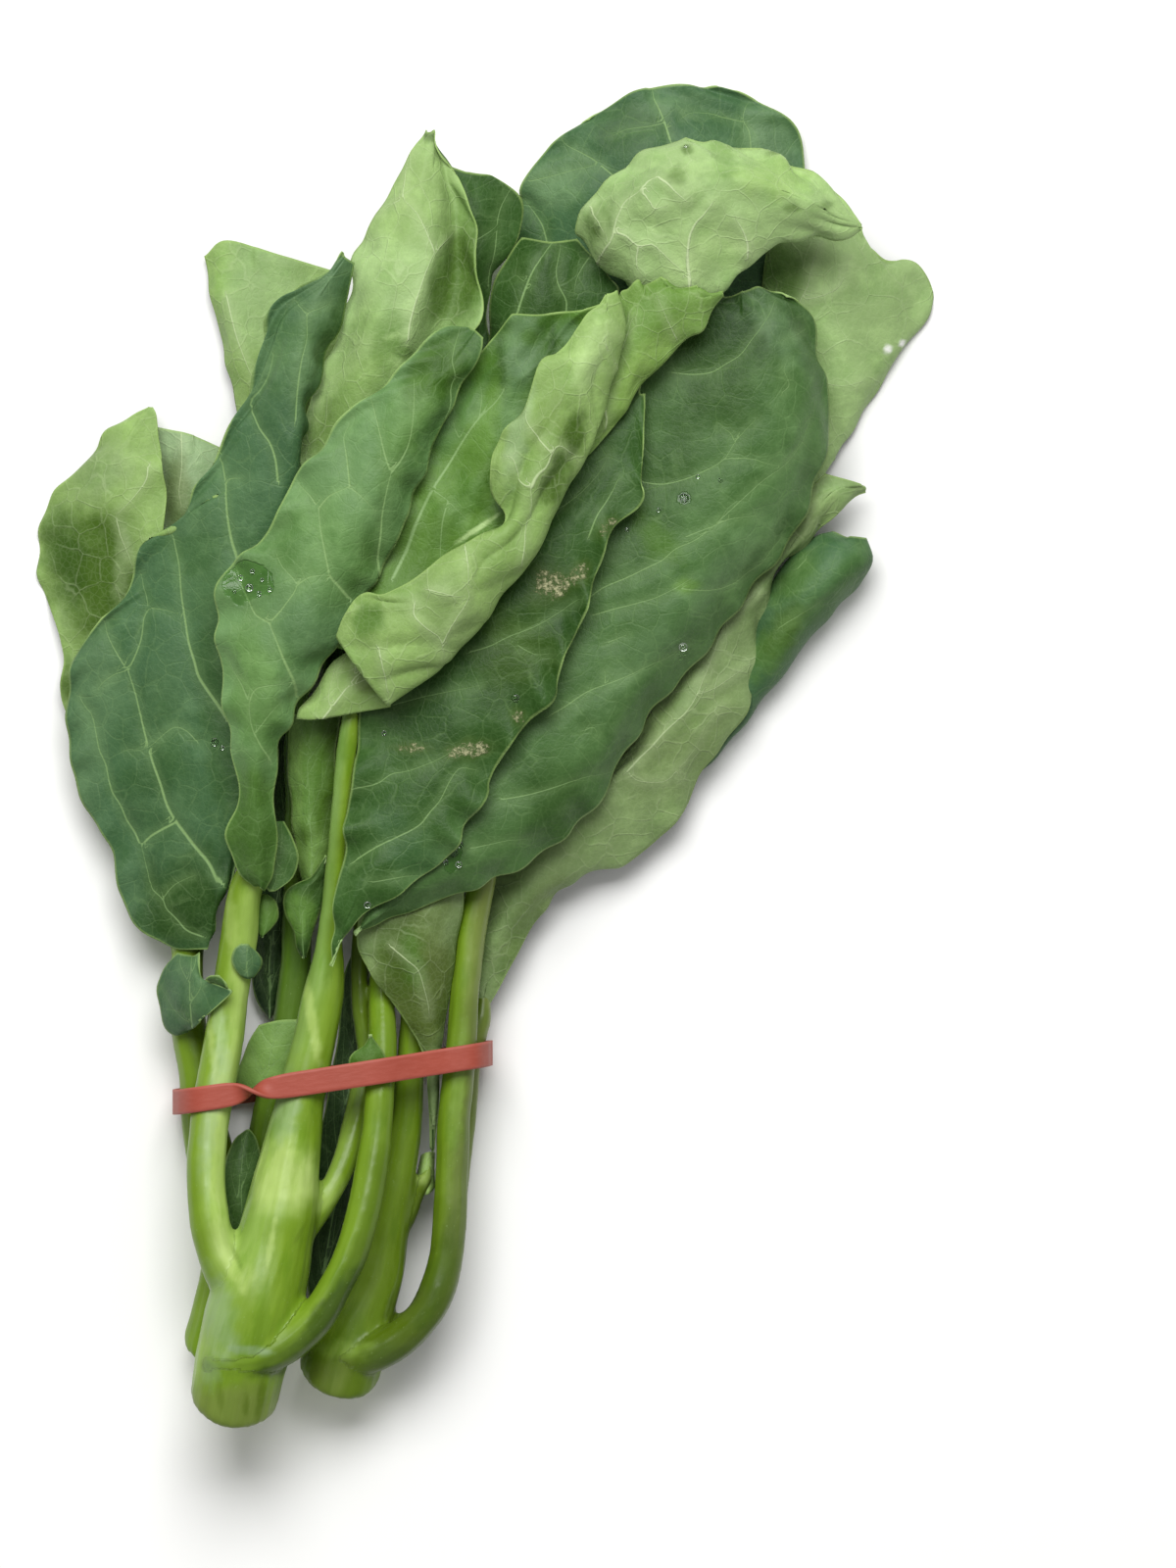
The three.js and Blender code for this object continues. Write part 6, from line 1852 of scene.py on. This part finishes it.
STALKS = (
    Stalk(
        "front_stalk",
        stems=(
            Stem(*lines("""
        -64.1 -165.4 26 11.5, -63.1 -160.4 26.5 11.5, -61.8 -154.1 27 11.8, -59.5 -145.3 28 12.3,
        -57 -136.5 28.5 12, -54.3 -127.8 28.5 10.3, -52 -117.8 28 9.5, -50.3 -107.8 27.5 8.4,
        -48 -95.2 27 6.9, -46.3 -85.2 26.5 6.1, -43.3 -72.7 26 5.5, -41.3 -62.7 26 5.3,
        -40 -55.2 26.5 4.5, -39.5 -47.9 27.5 3.5, -38.2 -32.9 30 2.9, -36.7 -15.1 33 2.6,
        -35.1 -0.1 35 2.6, -33.1 16.9 36 2.7"""),
                (Tint.STALK, Tint.LEAFY), (Tint.STALK_DEEP, Tint.STALK_DEEP), slant=0.6),
            Stem(*lines("""
        -57.5 -145.3 29 6, -61.7 -137.7 30 6.3, -66 -131.5 30.5 5.8, -68.7 -124.7 30.5 5.3,
        -70.2 -117.7 30.5 5.3, -71 -107.7 30 5.1, -70.3 -95.2 29 5, -68.3 -84 27 5, -66.3 -72.7 25 5,
        -65 -62.7 24 4.9, -62.6 -47.7 24 4.8, -61.3 -36.4 26 4.5, -59 -28.9 28 3.8, -58 -20.1 31 2.5"""),
                (Tint.STALK_DEEP, Tint.STALK_DEEP), (Tint.STALK_PALE, Tint.STALK)),
            Stem(*lines("""
        -68.9 -155.6 33.8 2.8, -63.4 -155.3 35.4 3.5, -57.4 -154.1 35 4.2, -50.4 -150.6 34.2 4.9,
        -42.9 -143.9 34.5 4.8, -37.6 -135.3 35 4.4, -33.9 -127.6 34.5 4.4, -30.9 -117.6 33.5 4.3,
        -28.9 -107.7 31.5 4.3, -27.2 -95.2 29 4, -26.5 -85.2 28 3.9, -26 -73 23.5 3.8,
        -26.1 -60 18.5 3.5, -24.1 -45 18 3.3, -17 -29.9 21 2.8"""),
                (Tint.STALK_DEEP, Tint.STALK_DEEP), (Tint.STALK_SHADE, Tint.STALK_DEEP)),
            Stem(*lines("""
        -48.5 -128.3 26 1.8, -45 -121.6 26 2.9, -40.3 -113.6 24.5 3.1, -36.3 -105.4 22 3.3,
        -33.3 -95.4 18.5 3.5, -30.9 -85.4 15.5 3.5, -29.9 -76.6 14 3, -31.6 -65.3 14 2.5,
        -31.9 -55.1 13 2.5, -30.9 -42 12 2.5, -28.4 -32.7 8.5 2, -27.2 -25.7 6.3 1.5"""),
                (Tint.STALK, Tint.STALK_DARK), (Tint.STALK_DEEP, Tint.STALK_DARK)),
        ),
        # The narrow MILKY streaks at -70, -104 and -67, -73, the STALK_PALE streak at -68, -85 and the
        # GREY_PALE streak at -69, -90 are painted highlights down the left petiole; the small STALK_DARK
        # at -63, -128 is painted shade in the crease of the fork.
        patches=painted("""
    STALK_PALE -51.6 -107.6 9.5 8.5 -10 0.9, GREY_PALE -67.4 -143.9 4 10.5 10 0.55,
    GREY_PALE -50.4 -90.1 3 8.5 -14 0.45, STALK_DEEP -43.9 -98.9 5 3.25 0 0.6,
    STALK_DEEP -60.4 -143.1 4.5 6 10 0.5, STALK_DEEP -62.6 -164.6 15 8.5 0 0.9,
    OLIVE_STALK -63.4 -167.6 17.5 6.5 0 0.8, STALK_SHADE -38.1 -140.6 2.75 15 -40 0.8,
    STALK_DARK -56.9 -164.1 1 5 -8 0.7, STALK_DARK -60.6 -166.1 0.75 3.5 0 0.6,
    STALK_DARK -67.4 -163.1 1 4 8 0.5, STALK_SHADE -51.4 -156.9 8.5 1.5 8 0.7,
    GREY_PALE -59.9 -151.9 6 1 -6 0.7, GREY_PALE -69.6 -157.6 2 4 8 0.4,
    STALK_DEEP -44.1 -80.1 5 6.5 -6 0.5, STALK_PALE -64.4 -130.6 1.5 7 26 0.75,
    STALK_PALE -60.4 -132.6 2 3.5 -10 0.4, STALK_DARK -62.9 -128.4 0.6 3 22 0.35,
    STALK_PALE -54.4 -125.6 0.75 6.5 -11 0.6, MILKY -70.4 -103.9 0.75 12.5 0 0.6,
    STALK_DARK -62.6 -165.1 14 7 0 0.3, STALK_DARK -46.9 -122.1 0.55 3.5 -30 0.3,
    STALK_PALE -67.9 -85.1 1 17.5 7 0.6, MILKY -67.1 -72.6 1.5 15 8 0.6,
    STALK_PALE -63.4 -50.1 1.75 17.5 10 0.4, STALK_PALE -43.9 -67.6 1.25 11 9 0.6,
    STALK_PALE -39.9 -113.1 2 5 -35 0.4, GREY_PALE -69.4 -90.1 2 17.5 -8 0.35"""),
        seed=2.0,
    ),
    Stalk(
        "right_stalk",
        stems=(
            Stem(*lines("""
        -37.5 -159.1 11 10.6, -36.2 -154.5 11.3 10.5, -33.2 -145.7 12 9.3, -28.4 -133.2 12.5 7.8,
        -25.4 -120.6 13.5 6.3, -22.6 -108 14.5 5, -20.3 -95.4 15 4.3, -19.3 -85.4 15.5 3.9,
        -18.1 -70.1 15.5 3.6, -18.1 -58 15.5 3.5, -17.1 -45 15.5 3.3, -14.1 -33 15 3, -6 -13.1 13 2.8,
        4 17 10 2.5, 14 33.9 7.5 2"""),
                (Tint.STALK_DEEP, Tint.STALK_DEEP), (Tint.STALK_DEEP, Tint.STALK_DARK), slant=0.6),
            Stem(*lines("""
        -42.4 -154.7 15.6 3.3, -37.4 -154.6 17.4 4, -31.6 -154.1 17.8 4.8, -26.1 -152.3 19 4.9,
        -20.3 -148.5 20 4.8, -14.3 -142.2 21 4.5, -11.3 -135 21 4.5, -9.5 -126.7 20.5 4.4,
        -8.5 -116.7 20.5 4.4, -8.3 -107.9 20 4.3, -7.8 -95.4 20 4.3, -6.7 -83.1 20 4.3,
        -5.7 -72.8 20 4, -5 -62.8 20 3.9, -4 -52.7 19.5 3.8, -2.7 -42.7 19 3.8, -0.5 -32.7 19.5 3.5,
        3 -18.9 22 2.8"""),
                (Tint.STALK_DARK, Tint.STALK_DEEP), (Tint.STALK_SHADE, Tint.OLIVE_STALK)),
            Stem(*lines("""
        -31.9 -150.1 10 4.5, -17.9 -146.1 9.5 4.3, -12.1 -135 9.5 4, -9.1 -122.9 9.5 4,
        -7.6 -108.1 9.5 4, -5.6 -93 9.5 3.8, -4.3 -80 9.5 3.5, -2.3 -71.4 10 3.3, -0.8 -67.4 10.2 2.8,
        -0.3 -62.9 9.8 2, 0.2 -58.4 9.3 1.3"""),
                (Tint.STALK_DARK, Tint.STALK_DARK), (Tint.STALK_DARK, Tint.OLIVE_STALK)),
            Stem(*lines("""
        -18.1 -77.9 13 3.5, -16.1 -64.9 10 3.3, -10.1 -51.1 8 3.3, -2.1 -36 7 3, 17 -14.9 7 2.8,
        34.9 2 6.5 2.5, 42.9 8.5 7.5 2"""),
                (Tint.STALK_DARK, Tint.STALK_DARK), (Tint.STALK_DARK, Tint.STALK_DARK)),
            Stem(*lines("""
        -22.6 -123.6 13 2.5, -20.1 -118.1 13 2.8, -17.6 -112.6 12.5 2.3, -15.1 -108.8 12 2,
        -13.6 -105.1 11.5 1.5"""),
                (Tint.STALK_DARK, Tint.STALK_DARK), (Tint.STALK_DARK, Tint.STALK_DARK)),
        ),
        patches=painted("""
    STALK_DARK -16.4 -143.9 6.5 11 -40 0.6, STALK_DARK -37.1 -161.4 15 6 0 0.75,
    OLIVE_STALK -40.9 -160.6 6 6 0 0.4, STALK_DARK -24.6 -130.1 4 15 -14 0.2,
    STALK_DEEP -7.9 -87.6 3 17.5 -6 0.5, STALK_DEEP -40.1 -143.9 4.5 7.5 -10 0.5,
    STALK_SHADE -11.6 -133.1 3.5 14 -18 0.5, STALK_PALE -14.9 -107.6 2 3 -20 0.5,
    STALK -36.4 -152.1 7.5 2 0 0.5, LIME -6.4 -85.1 1.5 15 -5 0.3, DRAB -18.4 -140.1 4 5 -50 0.5,
    STALK_SHADE -22.4 -154.1 7.5 3 -20 0.25"""),
        seed=7.0,
    ),
    Stalk(
        "back_stalk",
        stems=(
            Stem(*lines("""
        -69.2 -152.4 8.7 8.5, -67.4 -143.3 8.8 7.8, -66.1 -133.3 8.9 6.8, -65.9 -123.2 9.1 6.8,
        -67.9 -112.9 9.4 6.5, -71.9 -95 9.8 5.8, -73.4 -81 10 5, -75.9 -68.9 10 4.8,
        -76.1 -54.1 12 4.3, -74.1 -40 14 4, -70 -24.9 15.5 3.5"""),
                (Tint.STALK_DEEP, Tint.STALK_DEEP), (Tint.STALK_DARK, Tint.STALK_DARK), slant=0.6),
            Stem(*lines("""
        -63.1 -130 9 4.5, -59.9 -115.9 8.7 4.5, -57.3 -103.1 8.8 4.3, -54.8 -90 9.2 4.3,
        -52 -77.9 10 4.3, -49.5 -65.1 11 4.3, -48 -48 12.5 4, -48 -27.9 13 3.5, -48 -8.1 13 3,
        -50 7 12.5 2.3"""),
                (Tint.STALK_DARK, Tint.FRESH), (Tint.STALK_DARK, Tint.FRESH)),
            Stem(*lines("""
        -48 -35 13 3, -45.9 -14.9 16 2.8, -45.9 4.9 18 2.5, -46.9 18 18.5 2"""),
                (Tint.STALK_DARK, Tint.FRESH), (Tint.STALK_DARK, Tint.FRESH)),
            Stem(*lines("""
        -75.9 -55.1 11 3.5, -79 -40 8.5 3.3, -84 -22.9 7 2.8, -87 -14.6 6.5 2, -89.1 -9.6 6.3 1.5"""),
                (Tint.STALK_DEEP, Tint.STALK_DEEP), (Tint.STALK_DARK, Tint.STALK_DARK)),
            Stem(*lines("""
        -75.1 -45 12 3, -72.9 -24.9 7.5 2.8, -72 -6.3 4.3 2, -72 -0.1 4 1.5"""),
                (Tint.STALK_DEEP, Tint.STALK_DEEP), (Tint.STALK_DARK, Tint.STALK_DARK)),
        ),
        seed=12.0,
    ),
)

BAND = RubberBand(
    "rubber_band",
    path=lines("""
    -79.4 10, -78.8 19, -76.9 27.3, -73 32.7, -66 34, -57 34, -46 33.9, -36 34, -27 33.6, -19 30.8,
    -10 27.6, -2.8 26, 0.4 20.8, 1.3 14.5, 1.7 9.5, -0.2 5, -5 3.8, -14 3.6, -24 3.5, -40 3.2, -56 3,
    -66 2.8, -73.5 2.7, -78.5 5""")[0],
)

DROPS = Drops(
    (
        ("front_left_leaf", -59.62, 42.38, 1),
        ("front_left_leaf", -61.88, 44.88, 0.75),
        ("front_left_leaf", -57.12, 40.88, 0.65),
        ("front_left_leaf", -56.38, 44.38, 0.5),
        ("front_left_leaf", -63.38, 41.38, 0.55),
        ("front_left_leaf", -58.88, 46.62, 0.6),
        ("front_left_leaf", -54.38, 41.88, 0.6),
        ("left_outer_leaf", -68.88, 3.12, 1.12),
        ("left_outer_leaf", -66.88, 1.62, 0.62),
        ("centre_dark_leaf", 8.12, 14.38, 1.05),
        ("centre_dark_leaf", -25.38, 5.38, 0.62),
        ("right_dark_leaf", 51.12, 65.38, 1.25),
        ("right_dark_leaf", 50.88, 27.38, 1.12),
        ("right_dark_leaf", 54.62, 70.88, 0.55),
        ("right_dark_leaf", 60.38, 69.88, 0.6),
        ("right_dark_leaf", 44.62, 62.38, 0.6),
        ("right_dark_leaf", -7.62, -25.12, 1.12),
        ("right_dark_leaf", -6.38, -28.12, 0.88),
        ("right_dark_leaf", -5.88, -23.12, 0.75),
        ("right_dark_leaf", -9.62, -27.62, 0.62),
        ("centre_dark_leaf", -29.62, -38.38, 0.88),
        ("right_dark_leaf", 36.62, 57.38, 0.5),
        ("top_arched_leaf", 51.62, 154.88, 0.6),
        ("top_arched_leaf", 29.62, 134.38, 0.55),
        ("stem_leaf", -17.12, -52.62, 0.75),
        ("stem_leaf", -18.88, -47.62, 0.55),
        ("lower_right_leaf", 5.38, -33.88, 0.55),
    )
)


def main() -> None:
    """Builds the bunch piece by piece, then the studio around it."""
    logging.basicConfig(level=logging.INFO, format="%(name)s %(message)s")
    palette = Palette()
    blades = {blade.name: blade for blade in (*BLADES, *SMALL_BLADES)}
    for blade in blades.values():
        blade.build(palette)
    for stalk in STALKS:
        stalk.build(palette)
    BAND.build(palette)
    DROPS.build(blades, palette)
    studio = Studio()
    studio.camera()
    studio.floor()
    studio.lights()


if __name__ == "__main__":
    main()
